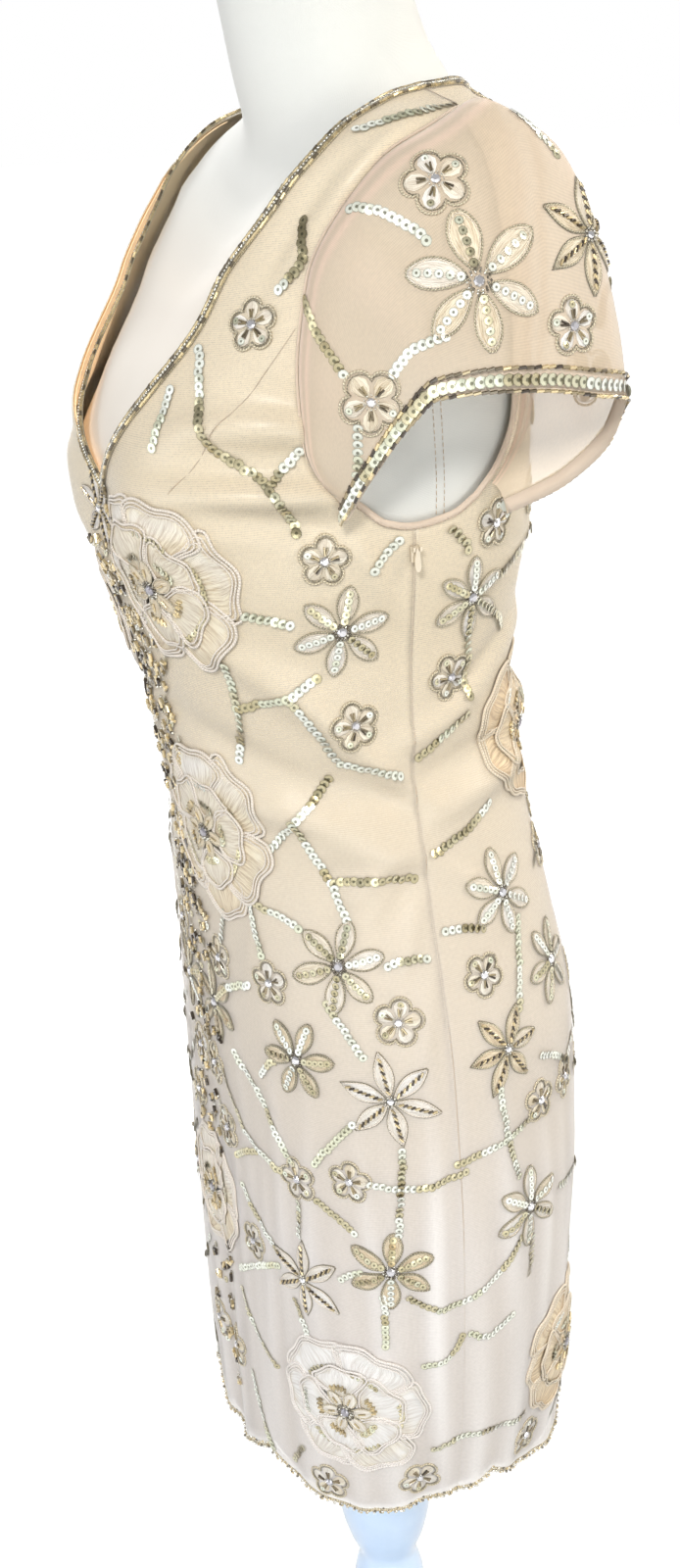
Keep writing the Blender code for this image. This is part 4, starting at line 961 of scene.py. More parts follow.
def bugle_mesh(name, ratio, sides=6, soft=False):
    """Glass tube one unit long, lying along X."""
    points = [(x, y, z + ratio * 0.8) for x in (-0.5, 0.5) for y, z, _ in ring_points(ratio, 0, sides)]
    return small_mesh(name, points, drum_faces(sides), soft)


def seed_mesh():
    """Round bead of radius 1 sitting on the cloth."""
    bm = bmesh.new()
    bmesh.ops.create_icosphere(bm, subdivisions=1, radius=1.0, matrix=Matrix.Translation((0, 0, 0.8)))
    mesh = bpy.data.meshes.new("one seed bead")
    bm.to_mesh(mesh)
    bm.free()
    mesh.shade_smooth()
    return bpy.data.objects.new("one seed bead", mesh)


def crystal_mesh():
    """Faceted stone of radius 1 in a low claw."""
    sides = 8
    points = ring_points(1, 0, sides) + ring_points(1, 0.22, sides) + ring_points(0.62, 0.62, sides, 0.5)
    faces = [tuple(range(sides))[::-1], tuple(range(2 * sides, 3 * sides))]
    for k in range(sides):
        after = (k + 1) % sides
        faces += [(k, after, sides + after, sides + k), (sides + k, sides + after, 2 * sides + k),
                  (sides + after, 2 * sides + after, 2 * sides + k)]
    return small_mesh("one crystal", points, faces)


BEADS = {"sequin": sequin_mesh(), "bugle": bugle_mesh("one short bugle", 0.24),
         "spoke": bugle_mesh("one long bugle", 0.13), "seed": seed_mesh(), "crystal": crystal_mesh(),
         "stitch": bugle_mesh("one stitch", 0.10, 4, True)}


BEAD_CHANNELS = (("facing", "FLOAT_VECTOR"), ("ahead", "FLOAT_VECTOR"), ("size", "FLOAT"), ("tone", "FLOAT"))


class Sewing(Nodes):
    """The node tree that puts one bead on each point, turned as the point says."""

    def __init__(self):
        super().__init__(bpy.data.node_groups.new("sewn on one by one", "GeometryNodeTree"))
        self.sockets = {}
        for name, kind in (("Geometry", "Geometry"), ("Bead", "Object"), ("Tilt", "Float"), ("Seed", "Int"),
                           ("Finish", "Material")):
            made = self.tree.interface.new_socket(name, in_out="INPUT", socket_type="NodeSocket" + kind)
            self.sockets[name] = made.identifier
        self.tree.interface.new_socket("Geometry", in_out="OUTPUT", socket_type="NodeSocketGeometry")
        given = self.node("NodeGroupInput").outputs
        facing, ahead, size = (
            self.value("GeometryNodeInputNamedAttribute", {"data_type": kind}, {"Name": name})
            for name, kind in BEAD_CHANNELS[:3])
        turned = self.value("FunctionNodeAxesToRotation", {"primary_axis": "Z", "secondary_axis": "X"},
                            {0: facing, 1: ahead})
        tilt = Value(self, given["Tilt"])
        random = self.value("FunctionNodeRandomValue", {"data_type": "FLOAT_VECTOR"},
                            {0: tilt * -1.0, 1: tilt, "Seed": given["Seed"]})
        wobble = self.value("FunctionNodeEulerToRotation", None, {0: random})
        tilted = self.value("FunctionNodeRotateRotation", {"rotation_space": "LOCAL"}, {0: turned, 1: wobble})
        bead = self.value("GeometryNodeObjectInfo", None, {"Object": given["Bead"]}, "Geometry")
        placed = self.value("GeometryNodeInstanceOnPoints", None, {
            "Points": given["Geometry"], "Instance": bead, "Rotation": tilted, "Scale": size})
        real = self.value("GeometryNodeRealizeInstances", None, {0: placed})
        done = self.value("GeometryNodeSetMaterial", None, {0: real, "Material": given["Finish"]})
        self.node("NodeGroupOutput", None, {0: done})

    def sew(self, name, kind, rows, finish, slot, tilt, seed):
        """One plain mesh of beads from rows of (point, facing, ahead, size, tone)."""
        mesh = bpy.data.meshes.new(name)
        mesh.from_pydata(np.array([row[0] for row in rows]).tolist(), [], [])
        for column, (channel, sort) in enumerate(BEAD_CHANNELS, 1):
            data = mesh.attributes.new(channel, sort, "POINT").data
            values = np.array([row[column] for row in rows], dtype=np.float32)
            data.foreach_set("vector" if sort == "FLOAT_VECTOR" else "value", values.reshape(-1))
        holder = show(name + "_points", mesh)
        rule = holder.modifiers.new("sewn on", "NODES")
        rule.node_group = self.tree
        settings = {"Bead": BEADS[kind], "Tilt": math.radians(tilt), "Seed": seed, "Finish": finish}
        for socket, value in settings.items():
            rule[self.sockets[socket]] = value
        bpy.context.view_layer.update()
        scene_now = bpy.context.evaluated_depsgraph_get()
        made = bpy.data.meshes.new_from_object(holder.evaluated_get(scene_now), depsgraph=scene_now)
        made.name = name
        holder.modifiers.clear()
        bpy.data.objects.remove(holder)
        for channel, _ in BEAD_CHANNELS[:3]:
            if channel in made.attributes:    # only the finish's own channels stay
                made.attributes.remove(made.attributes[channel])
        if not made.materials:
            made.materials.append(finish)
        return finish_piece(show(name, made))


SEWING = Sewing()
cords = {"rose": Bundle(), "flower": Bundle(), "sleeve": Bundle()}
fills = {"rose": Bundle(), "flower": Bundle(), "sleeve": Bundle()}
beads = {}


def put_bead(kind, group, point, facing, ahead, size, tone):
    """Note a bead, to be sewn on with the rest of its kind and group."""
    beads.setdefault((kind, group), []).append((point, facing, ahead, size, tone))


class Motif:
    """Work drawn flat in metres round its own centre, then sewn down in one go."""

    def __init__(self, group):
        self.group, self.flat, self.lifts, self.parts, self.count = group, [], [], [], 0

    def _take(self, flat, lift):
        flat = np.asarray(flat, float).reshape(-1, 2)
        self.flat.append(flat)
        self.lifts.append(np.broadcast_to(np.asarray(lift, float).reshape(-1), (len(flat),)))
        start = self.count
        self.count += len(flat)
        return slice(start, self.count)

    def cord(self, path, width, tone, lift=0.0005, step=0.0030):
        """A cord that closes on itself."""
        self.parts.append(("cord", self._take(evenly(path, step, True), lift), width, tone))

    def fill(self, grid, lifts, maps, tone):
        """A padded surface, from rows of points."""
        self.parts.append(("fill", self._take(grid, lifts), np.asarray(grid).shape[:2], maps, tone))

    def bead(self, kind, at, heading, size, tone, lift=0.0006, lean=0.0):
        """One bead, which leans towards its heading."""
        self.parts.append(("bead", self._take(at, lift), kind, heading, size, tone, lean))

    def bead_out(self, kind, reach, way, size, tone, lift, lean=0.0, turn=0.0):
        """A bead at a distance from the centre, pointing outwards or turned from that."""
        self.bead(kind, (reach * math.cos(way), reach * math.sin(way)), way + turn, size, tone, lift, lean)

    def ring(self, count, reach, size, draw_tone, lift, start=0.0):
        """Seed beads evenly round the centre."""
        for k in range(count):
            self.bead_out("seed", reach, 2 * math.pi * k / count + start, size, draw_tone(), lift)

    def sew(self, ground, place, turn=0.0, size=1.0, flip=False):
        """Lay the work on a cloth at a place, turned, sized and perhaps as its mirror image."""
        flat = np.concatenate(self.flat) * size
        lean = math.radians(turn)
        flat = flat @ np.array([[math.cos(lean), math.sin(lean)], [-math.sin(lean), math.cos(lean)]])
        if flip:
            flat[:, 0] = -flat[:, 0]
        up, round_ = ground.walk(place, flat)
        points, right, upward, normal = ground.stand(up, round_, np.concatenate(self.lifts))
        for kind, part, *rest in self.parts:
            if kind == "cord":
                width, tone = rest
                cords[self.group].tube(points[part], normal[part], width, width * CORD_HEIGHT, tone, True,
                                       5 if width > THICK_CORD else 4)
            elif kind == "fill":
                (rows, columns), maps, tone = rest
                fills[self.group].grid(points[part].reshape(rows, columns, 3), maps, tone,
                                       flip=(ground.outside < 0) != flip)
            else:
                bead, heading, scale, tone, tip = rest
                way = heading + lean
                if flip:
                    way = math.pi - way
                ahead = right[part][0] * math.cos(way) + upward[part][0] * math.sin(way)
                facing = unit(normal[part][0] + ahead * tip)
                put_bead(bead, self.group, points[part][0], facing, ahead, scale, tone)


def petal(length, width, foot, heading, widest=0.5, fullness=0.6, bend=0.0, wavy=0.0, ruffle=0.0,
          rows=9, columns=7, shrink=1.0):
    """Outline, inner grid, its dome and its cloth map, of a petal that lies along a heading from its foot."""
    def spine(u, v):
        profile = np.sin(np.pi * np.clip(u, 0, 1) ** (math.log(0.5) / math.log(widest))) ** fullness
        x = foot + length * (0.5 + (u - 0.5) * shrink)
        y = v * profile * width / 2 * shrink + bend * length * u ** 2
        y = y * (1 + wavy * np.sin(9 * u + heading))
        x = x + ruffle * length * np.clip(u, 0, 1) ** 2 * np.cos(11 * y / width + 3 * heading)
        c, s = math.cos(heading), math.sin(heading)
        return np.stack([x * c - y * s, x * s + y * c], axis=-1)

    t = np.linspace(0, 2 * np.pi, 80 if ruffle else 40, endpoint=False)
    outline = spine((1 - np.cos(t)) / 2, np.where(t < np.pi, 1.0, -1.0))
    u, v = np.meshgrid(0.015 + 0.97 * (1 - np.cos(np.linspace(0, np.pi, rows))) / 2,
                       np.linspace(-0.94, 0.94, columns), indexing="ij")
    dome = np.sqrt(np.clip(1 - v ** 2, 0, 1)) * np.sin(np.pi * u) ** 0.5
    maps = np.stack([v * width / 2, u * length], axis=-1)
    return outline, spine(u, v), dome, maps


def glint_and_tone_stretches(count, dark=0.55):
    """Sequin tones along a row, in stretches alike in tone: the pale stretches are partly the sequins' own
    colour and partly painted reflection, runs that catch the light alike.
    """
    tones = []
    while len(tones) < count:
        level = chance.choice([0.03, 0.11, 0.32, 0.48, 0.62, 0.76], p=[0.22, 0.20, 0.17, 0.15, 0.15, 0.11])
        level = level * (dark + 0.45)
        tones += [level + chance.normal(0, 0.045) for _ in range(chance.integers(2, 7))]
    return np.clip(tones[:count], 0, 1)


def near(level, spread):
    """A tone somewhere about a level."""
    return float(np.clip(level + chance.normal(0, spread), 0, 1))


def small_flower(group):
    """Five round corded petals, bugle spokes and a crystal."""
    made = Motif(group)
    size = SMALL_SIZE
    t = np.linspace(0, 2 * np.pi, 120, endpoint=False)
    lobes = np.abs(np.cos(2.5 * t)) ** 0.55
    for reach, width, tone, lift in ((1.0, 0.0016, 0.46, 0.0006), (0.89, 0.0008, 0.72, 0.0005)):
        radius = size * reach * (0.64 + 0.36 * lobes)
        made.cord(np.stack([radius * np.cos(t), radius * np.sin(t)], axis=-1), width, tone, lift, step=0.0025)
    light = chance.uniform(0.10, 0.34)
    for k in range(5):
        way = 2 * math.pi * k / 5
        _, grid, dome, maps = petal(size * 0.74, size * 0.56, size * 0.14, way, 0.60, 0.6, rows=6, columns=5)
        made.fill(grid, 0.0003 + 0.0006 * dome, maps, light * 0.6 + chance.uniform(-0.05, 0.12))
        for spread in (-0.17, 0.17):
            at = way + spread * 0.6
            made.bead("spoke", (0.0062 * math.cos(at), 0.0062 * math.sin(at)), way + spread, 0.0052,
                      chance.uniform(0.50, 1.0), 0.0008)
        if chance.random() < 0.55:
            made.bead_out("sequin", size * 0.70, way, 0.0022, chance.uniform(0.0, 0.8), 0.0012,
                          chance.normal(0, 0.15))
    made.bead("crystal", (0, 0), chance.uniform(0, 1), 0.0028, chance.uniform(0.1, 0.6), 0.0008)
    made.ring(10, 0.0034, 0.00062, lambda: chance.uniform(0, 0.5), 0.0004)
    return made


def daisy(group, bronze=False):
    """Six padded oval petals outlined in cord, with a row of sequins down each."""
    made = Motif(group)
    edge = 0.68 if bronze else chance.uniform(0.54, 0.66)
    for k in range(6):
        way = 2 * math.pi * k / 6 + chance.normal(0, 0.04)
        grow = 1 + chance.normal(0, 0.04)
        length, width, foot = DAISY_SIZE * 0.86 * grow, DAISY_SIZE * 0.42 * grow, DAISY_SIZE * 0.14
        outline, grid, dome, maps = petal(length, width, foot, way, 0.56, 0.62)
        if bronze:
            tone = chance.uniform(0.28, 0.42)
        else:
            tone = chance.uniform(0.02, 0.22) + (0.10 if group == "sleeve" else 0.0)
        made.fill(grid, 0.0004 + 0.0010 * dome, maps, tone)
        made.cord(outline, 0.0012, edge, 0.0008)
        inner = petal(length, width, foot, way, 0.56, 0.62, shrink=0.86)[0]
        made.cord(inner, 0.0008, 0.50 if bronze else 0.18, 0.0012)
        level = chance.choice([0.05, 0.60, 0.80] if bronze else [0.02, 0.10, 0.50, 0.66])
        for n in range(5):
            made.bead_out("sequin", foot + length * (0.13 + 0.17 * n), way, 0.0026, near(level, 0.08),
                          0.0019 + 0.0003 * math.sin(n), 0.22)
    made.bead("crystal", (0, 0), chance.uniform(0, 1), 0.0032, chance.uniform(0.0, 0.5), 0.0010)
    for reach, count in ((0.0040, 12), (0.0052, 14)):
        made.ring(count, reach, 0.00085, lambda: chance.choice([0.1, 0.8, 1.0]), 0.0005, reach * 300)
    return made


def pointed_flower(group, bronze=False):
    """Six white lance petals with slanting bronze beads down their midribs."""
    made = Motif(group)
    for k in range(6):
        way = 2 * math.pi * k / 6 + chance.normal(0, 0.05)
        length, width = POINTED_SIZE * 0.90 * (1 + chance.normal(0, 0.05)), POINTED_SIZE * 0.34
        foot = POINTED_SIZE * 0.08
        outline, grid, dome, maps = petal(length, width, foot, way, 0.50, 1.05)
        tone = chance.uniform(0.16, 0.36) if bronze else chance.uniform(0.0, 0.10)
        made.fill(grid, 0.0004 + 0.0010 * dome, maps, tone)
        made.cord(outline, 0.0012, 0.50 if bronze else 0.10, 0.0008)
        made.cord(petal(length, width, foot, way, 0.50, 1.05, shrink=1.10)[0], 0.0008, 0.72, 0.0005)
        for n in range(9):
            odd = n % 2
            made.bead_out("bugle", foot + length * (0.14 + 0.70 * n / 8), way, 0.0034,
                          1.0 if odd else chance.uniform(0.1, 0.6), 0.0014, turn=0.62 if odd else 0.52)
    made.bead("crystal", (0, 0), 0.3, 0.0024, 0.1, 0.0012)
    made.ring(9, 0.0034, 0.0009, lambda: chance.uniform(0, 0.7), 0.0008)
    return made


def rose(radius, tone):
    """Large embroidered rose: corded outer and inner petals, sequin rows and a small daisy heart."""
    made = Motif("rose")
    count = 6 if radius > 0.047 else 5
    sequins = int(radius * 150 * 5 / count)
    for k in range(count):
        way = 2 * math.pi * k / count + chance.normal(0, 0.07)
        grow = 1 + chance.uniform(-0.10, 0.06)
        lift = 0.0004 + 0.0006 * (k % 2) + (0.0005 if k == count - 1 and count % 2 else 0)
        form = dict(widest=chance.uniform(0.60, 0.68), fullness=chance.uniform(0.42, 0.54),
                    bend=chance.normal(0, 0.09), wavy=0.10, ruffle=chance.uniform(0.035, 0.06))
        broad = 1.12 if count == 5 else 0.98
        length, width, foot = radius * 0.74 * grow, radius * broad * grow, radius * 0.27
        _, grid, dome, maps = petal(length, width, foot, way, rows=13, columns=13, **form)
        u = maps[..., 1] / length
        # painted shade at each petal's foot, under the petals that lie over it, and a ripple of uneven tone
        # over its dome
        painted_foot_shade = (0.20 * np.exp(-(u / 0.30) ** 2)
                + 0.09 * np.sin(5 * u + 3 * maps[..., 0] / width + k) * (dome > 0.6))
        shade = np.clip(tone * 0.75 + painted_foot_shade + 0.08 * (dome < 0.62) + chance.normal(0, 0.05), 0, 1)
        made.fill(grid, lift + 0.0016 * dome, maps, shade)
        for shrink, thick in ((1.0, 0.0022), (0.90, 0.0015), (0.81, 0.0013)):
            line = petal(length, width, foot, way, shrink=shrink, **form)[0]
            made.cord(line, thick, tone * 0.3, lift + 0.0006 + 0.0012 * (1 - shrink) * 4, step=0.0034)
        level = chance.choice([0.05, 0.60, 0.66, 0.74])
        for n in range(sequins):
            at = way + (n - (sequins - 1) / 2) * 0.0036 / (radius * 0.62)
            made.bead_out("sequin", radius * (0.615 + 0.03 * math.cos(3 * at)), at, 0.0022, near(level, 0.10),
                          lift + 0.0026, 0.25, math.pi / 2)
    for k in range(5):
        way = 2 * math.pi * (k + 0.5) / 5 + chance.normal(0, 0.08)
        lift = 0.0022 + 0.0006 * (k % 2) + (0.0005 if k == 4 else 0)
        grow = 1 + chance.uniform(-0.08, 0.08)
        form = dict(widest=0.64, fullness=0.50, bend=chance.normal(0, 0.08), wavy=0.10, ruffle=0.05)
        length, width, foot = radius * 0.50 * grow, radius * 0.70 * grow, radius * 0.16
        _, grid, dome, maps = petal(length, width, foot, way, rows=10, columns=9, **form)
        # painted shade at each inner petal's foot, under the heart
        painted_foot_shade = 0.22 * np.exp(-(maps[..., 1] / length / 0.30) ** 2)
        made.fill(grid, lift + 0.0014 * dome, maps, np.clip(tone * 0.6 + painted_foot_shade + 0.10 * (dome < 0.6), 0, 1))
        for shrink, thick in ((1.0, 0.0019), (0.86, 0.0013)):
            line = petal(length, width, foot, way, shrink=shrink, **form)[0]
            made.cord(line, thick, tone * 0.3, lift + 0.0008 + 0.004 * (1 - shrink), step=0.0032)
        fringe = chance.random() < 0.6
        for n in range(8):
            at, reach = way + (n - 3.5) * 0.085, radius * (0.345 + 0.025 * (n % 2))
            if fringe:
                made.bead_out("bugle", reach, at, 0.0034, chance.uniform(0.0, 0.75), lift + 0.0016)
            else:
                made.bead_out("sequin", reach, at, 0.0021, chance.uniform(0.3, 0.9), lift + 0.0020, 0.3,
                              math.pi / 2)
    for k in range(6):
        way = 2 * math.pi * k / 6 + 0.2
        length, width, foot = radius * 0.30, radius * 0.15, radius * 0.04
        outline, grid, dome, maps = petal(length, width, foot, way, 0.56, 0.7, rows=6, columns=5)
        made.fill(grid, 0.0042 + 0.0008 * dome, maps, min(tone * 0.6 + 0.10, 1.0))
        made.cord(outline, 0.0012, 0.45, 0.0046, step=0.0024)
        made.bead_out("spoke", radius * 0.20, way, 0.0052, 0.3, 0.0052)
    made.bead("crystal", (0, 0), 0.2, 0.0034, 0.9, 0.0048)
    for reach, number in ((0.0043, 11), (0.0057, 14)):
        made.ring(number, reach, 0.0010, lambda: chance.choice([0.2, 0.8, 1.0]), 0.0044)
    return made


# ---------------------------------------------------------------- the sleeves' surface
def sleeve_surface(down, share):
    """Point of the left sleeve: share round from front tip to back tip, down from seam to hem."""
    down, share = np.broadcast_arrays(np.asarray(down, float), np.asarray(share, float))
    shape = down.shape
    down, share = down.reshape(-1), np.clip(share.reshape(-1), 0, 1)
    front = along(ARMHOLE_FRONT, 0.04 + 0.96 * np.clip(share / 0.5, 0, 1))
    back = along(ARMHOLE_BACK, 1 - 0.96 * np.clip((share - 0.5) / 0.5, 0, 1))
    edge = np.where(share[:, None] <= 0.5, front, back)
    normal = skin_normal(edge[:, 0], edge[:, 1])
    seam = skin_point(edge[:, 0], edge[:, 1]) + SLEEVE_START * normal
    knots = lengths(SLEEVE_HEM)
    hem = smooth_path(knots, SLEEVE_HEM, share * knots[-1])
    fall = np.linalg.norm(hem - seam, axis=1, keepdims=True)
    behind = np.clip(normal[:, 1:2], 0, 1) * np.clip((seam[:, 2:3] - 1.22) / 0.12, 0, 1)
    outward = unit(normal * (1.0, 1.0, 0.30) + (0.75, 0, 0.10) + behind * (0.0, 1.8, 2.6))
    d = down[:, None]
    first = seam + outward * fall * (0.36 + 0.22 * behind)
    last = hem + np.array((0.04, 0.0, 1.0)) * fall * 0.30
    point = ((1 - d) ** 3 * seam + 3 * (1 - d) ** 2 * d * first + 3 * (1 - d) * d ** 2 * last + d ** 3 * hem)
    away = unit(np.stack([np.ones(len(point)), (point[:, 1] - 0.02) * 4, (point[:, 2] - 1.25) * 2], axis=-1))
    return (point + away * sleeve_relief(down, share)[:, None]).reshape(*shape, 3)


SLEEVE_FOLDS = (    # (share round, where it starts, height, half width, lean)
    (0.60, 0.0030, 0.026, 0.05), (0.70, -0.0026, 0.024, 0.03), (0.30, 0.0016, 0.030, -0.05),
    (0.82, 0.0022, 0.030, 0.02), (0.48, -0.0012, 0.026, 0.03), (0.16, 0.0018, 0.040, -0.02))


def sleeve_relief(down, share):
    """Soft falling folds of the sleeve."""
    height = np.zeros(down.shape)
    for where, high, width, lean in SLEEVE_FOLDS:
        off = (share - where - lean * (down - 0.5)) / width
        height += high * np.exp(-off ** 2) * np.clip(np.sin(np.pi * np.clip(down, 0, 1) ** 0.8), 0, 1)
    return height


dress_ground = Ground(mesh_point, (0.003, 1.0), plain=skin_point)
left_sleeve = Ground(lambda up, share: sleeve_surface(1 - up, share), (0.02, 0.01))
right_sleeve = Ground(lambda up, share: sleeve_surface(1 - up, share) * (-1, 1, 1), (0.02, 0.01), -1.0)


# ---------------------------------------------------------------- cloth
SEAM_HALF = 0.01
BODY_ROWS, STRAP_ROWS, PANEL_COLUMNS, SHOULDER_COLUMNS = 128, 48, 56, 16


def underarm_row(side, underarm, crossing):
    """(station, angle) points from the side seam to the middle line, closer at the seam."""
    share = np.linspace(0, 1, PANEL_COLUMNS)
    share = share - 0.05 * np.sin(np.pi * share) ** 2
    start = np.array(underarm, float)
    start[0, 1] = side * SEAM_HALF
    knots = np.concatenate([start, np.array([crossing], float)])
    reach = np.concatenate([[0], np.cumsum(np.abs(np.diff(knots[:, 1])))])
    return np.stack([np.interp(share * reach[-1], reach, knots[:, k]) for k in (0, 1)], axis=-1), start[-1, 1]


def half_grids(front):
    """(station, angle) grids of half a panel: body, then strap or yoke."""
    if front:
        side, underarm, crossing, armhole = -1, UNDERARM_FRONT, (V_POINT, -90), ARMHOLE_FRONT
    else:
        side, underarm, crossing, armhole = 1, UNDERARM_BACK, BACK_CROSSING, ARMHOLE_BACK
    row, corner = underarm_row(side, underarm, crossing)
    k = int(np.argmin(np.abs(row[:, 1] - corner)))
    row[k] = underarm[-1]
    foot = hem_station(row[:, 1])
    share = np.linspace(0, 1, BODY_ROWS + 1)[:, None]
    body = np.stack(np.broadcast_arrays(foot + (row[:, 0] - foot) * share, row[:, 1]), axis=-1)
    rest = row[k:]
    outer = along(armhole, np.linspace(0, 1, STRAP_ROWS + 1))
    outer[-1, 1] += side * SEAM_HALF * 2
    shoulder = (SHOULDER_END, SHOULDER_ANGLE), (NECK_SHOULDER, SHOULDER_ANGLE)
    if front:
        top = np.linspace(*shoulder, len(rest))
        top[:, 1] += side * SEAM_HALF * 2
        inner = along(NECK_FRONT, np.linspace(0, 1, STRAP_ROWS + 1))
    else:
        seam = np.linspace(*shoulder, SHOULDER_COLUMNS + 1)
        seam[:, 1] += side * SEAM_HALF * 2
        top = np.concatenate([seam, along(NECK_BACK, np.linspace(0, 1, len(rest) - SHOULDER_COLUMNS))[1:]])
        inner = np.linspace(BACK_CROSSING, NECK_BACK[-1], STRAP_ROWS + 1)
    inner[-1] = top[-1]
    return body, patch(rest, top, outer, inner)


def both_sides(grids):
    """Stations and angles of each grid, then of its mirror image, with whether it is one."""
    for grid in grids:
        yield grid[..., 0], grid[..., 1], False
        yield grid[..., 0], 180 - grid[..., 1], True


def cloth_maps(station, angle):
    """A cloth map in metres: across the piece and up it."""
    return np.stack([np.radians(angle) * MAP_ARM, station], axis=-1)


def make_panel(name, front, surface, finish, slot, wall=0.0, instead_of=()):
    """A whole panel, both halves, from the surface's own function."""
    bundle = Bundle()
    for station, angle, other in both_sides(half_grids(front)):
        gather = np.clip(relief(FOLDED, station, angle) / GATHERED_FOLD, 0, 1) ** 1.4
        hem = np.clip(1 - (station - hem_station(angle)) / HEM_TURNING, 0, 1)
        gather = np.maximum(gather, hem)
        bundle.grid(surface(station, angle), cloth_maps(station, angle), gather, flip=front != other)
    piece = bundle.piece(name, finish, slot, instead_of, channel="gather", merge=SAME_POINT)
    if wall:
        add_wall(piece, wall)
    return piece


def make_cloth():
    """The front and back of both layers, by (side, layer)."""
    pieces = {}
    for front, side in ((True, "front"), (False, "back")):
        pieces[side, "satin"] = make_panel(f"satin_{side}", front, satin_point, SATIN, "satin", SATIN_WALL,
                                           (f"{side}_panel",))
        pieces[side, "mesh"] = make_panel(f"mesh_{side}", front, mesh_point, SHEER, "mesh")
    return pieces


def make_sleeves():
    """Both sheer sleeves, the right one a mirror image."""
    share, down = np.meshgrid(np.linspace(0, 1, 97), np.linspace(0, 1, 57))
    points = sleeve_surface(down, share)
    gather = np.clip(0.9 * np.exp(-((down - 0.05) / 0.035) ** 2) + 0.7 * np.exp(-((down - 0.15) / 0.03) ** 2)
                     + np.clip(sleeve_relief(down, share), 0, 1) / 0.004 * 0.35, 0, 1)
    maps = np.stack([share * 0.42, down * 0.14], axis=-1)
    made = []
    for side, mirror in (("left", 1), ("right", -1)):
        bundle = Bundle()
        bundle.grid(points * (mirror, 1, 1), maps, gather, flip=mirror > 0)
        made.append(bundle.piece(f"sleeve_mesh_{side}", SLEEVE_NET, "mesh", (f"sleeve_{side}",),
                                 channel="gather"))
    return made


def make_facing():
    """Satin facing inside the V, from the front's own edge moved in."""
    body, strap = half_grids(True)
    bundle = Bundle()
    for station, angle, other in both_sides((body[-14:, -10:], strap[:int(STRAP_ROWS * 0.82), -10:])):
        bundle.grid(satin_point(station, angle, -0.0016), cloth_maps(station, angle), flip=not other)
    piece = bundle.piece("satin_neck_facing", PEACH, "satin", ("neck_facing",),
                         channel="gather", merge=SAME_POINT)
    add_wall(piece, SATIN_WALL)
    return piece


# ---------------------------------------------------------------- sewn work
def rows_of_beads(kind, group, points, normals, size, tones, closed=False, lean=0.0, skew=0.0):
    """Beads at each point of a path, lying along it."""
    for point, normal, way, tone in zip(points, normals, heading(points, closed), tones):
        if skew:
            way = unit(way * math.cos(skew) + np.cross(normal, way) * math.sin(skew))
        put_bead(kind, group, point, unit(normal + way * lean), way, size, float(tone))


def clear(spot, blocked):
    """Whether a point lies outside every (centre, radius) ball."""
    return all(np.linalg.norm(spot - centre) >= radius for centre, radius in blocked)


def chain(ground, places, group, blocked=(), pitch=0.0044, size=0.0033, lift=0.0010):
    """Overlapping sequins along a smooth line between places on a cloth, smaller towards the hem."""
    places = np.array(places, float)
    on_dress = ground is dress_ground
    if on_dress:
        smaller = float(np.interp(places[:, 0].mean(), (0.55, 1.05), (0.82, 1.0)))
        pitch, size = pitch * smaller, size * smaller
    if len(places) == 2:
        bow = (0.0015, 0.2) if on_dress else (0.0, 0.0)
        places = np.insert(places, 1, places.mean(axis=0) + bow, axis=0)
    length = lengths(places * (DRESS_METRES if on_dress else SLEEVE_METRES))
    fine = np.linspace(0, length[-1], 60)
    line = smooth_path(length, places, fine)
    run = lengths(ground.point(line[:, 0], line[:, 1]))
    count = max(int(run[-1] / pitch), 2)
    share = np.interp((np.arange(count) + 0.5) * run[-1] / count, run, fine)
    line = smooth_path(length, places, share)
    points, _, _, normals = ground.stand(line[:, 0], line[:, 1], np.full(count, lift))
    tones = glint_and_tone_stretches(count)
    ahead = heading(points)
    side = chance.normal(0, 0.00035, count)
    tips, rolls = (np.repeat(chance.normal(0.0, 0.10, count // 4 + 1), 4)[:count] for _ in range(2))
    for k in range(count):
        across = np.cross(normals[k], ahead[k])
        spot = points[k] + across * side[k]
        if clear(spot, blocked):
            facing = unit(normals[k] + ahead[k] * (0.20 + tips[k]) + across * rolls[k])
            put_bead("sequin", group, spot, facing, ahead[k], size, float(tones[k]))


def sprig():
    """A fan of three bronze bugles with a seed bead, and often a sequin."""
    made = Motif("front")
    for turn, reach in ((0.0, 0.0036), (0.75, 0.0026), (-0.75, 0.0026)):
        made.bead("bugle", (reach * math.sin(turn), reach * math.cos(turn)), math.pi / 2 - turn * 0.9,
                  chance.uniform(0.0040, 0.0056), float(chance.choice([0.1, 0.35, 0.75, 1.0])), 0.0010)
    made.bead("seed", (0.0, -0.0016), 0.0, 0.0011, chance.uniform(0.1, 0.9), 0.0006)
    if chance.random() < 0.6:
        made.bead("sequin", (chance.choice([-0.0052, 0.0052]), chance.uniform(-0.004, 0.002)), 0.3, 0.0026,
                  float(chance.choice([0.05, 0.45, 0.66, 0.8])), 0.0010, 0.2)
    return made


# The centre front's beadwork: (station, degrees each side of the middle, share of the spots filled)
FRONT_WORK = (
    (1.178, 3.0, 1.0), (1.160, 9.0, 1.0), (1.110, 15.0, 0.95), (1.050, 14.0, 0.9), (0.990, 12.0, 0.85),
    (0.930, 14.0, 0.8), (0.860, 15.0, 0.6), (0.780, 14.0, 0.45), (0.700, 13.0, 0.35), (0.600, 12.0, 0.3),
    (0.500, 12.0, 0.25))


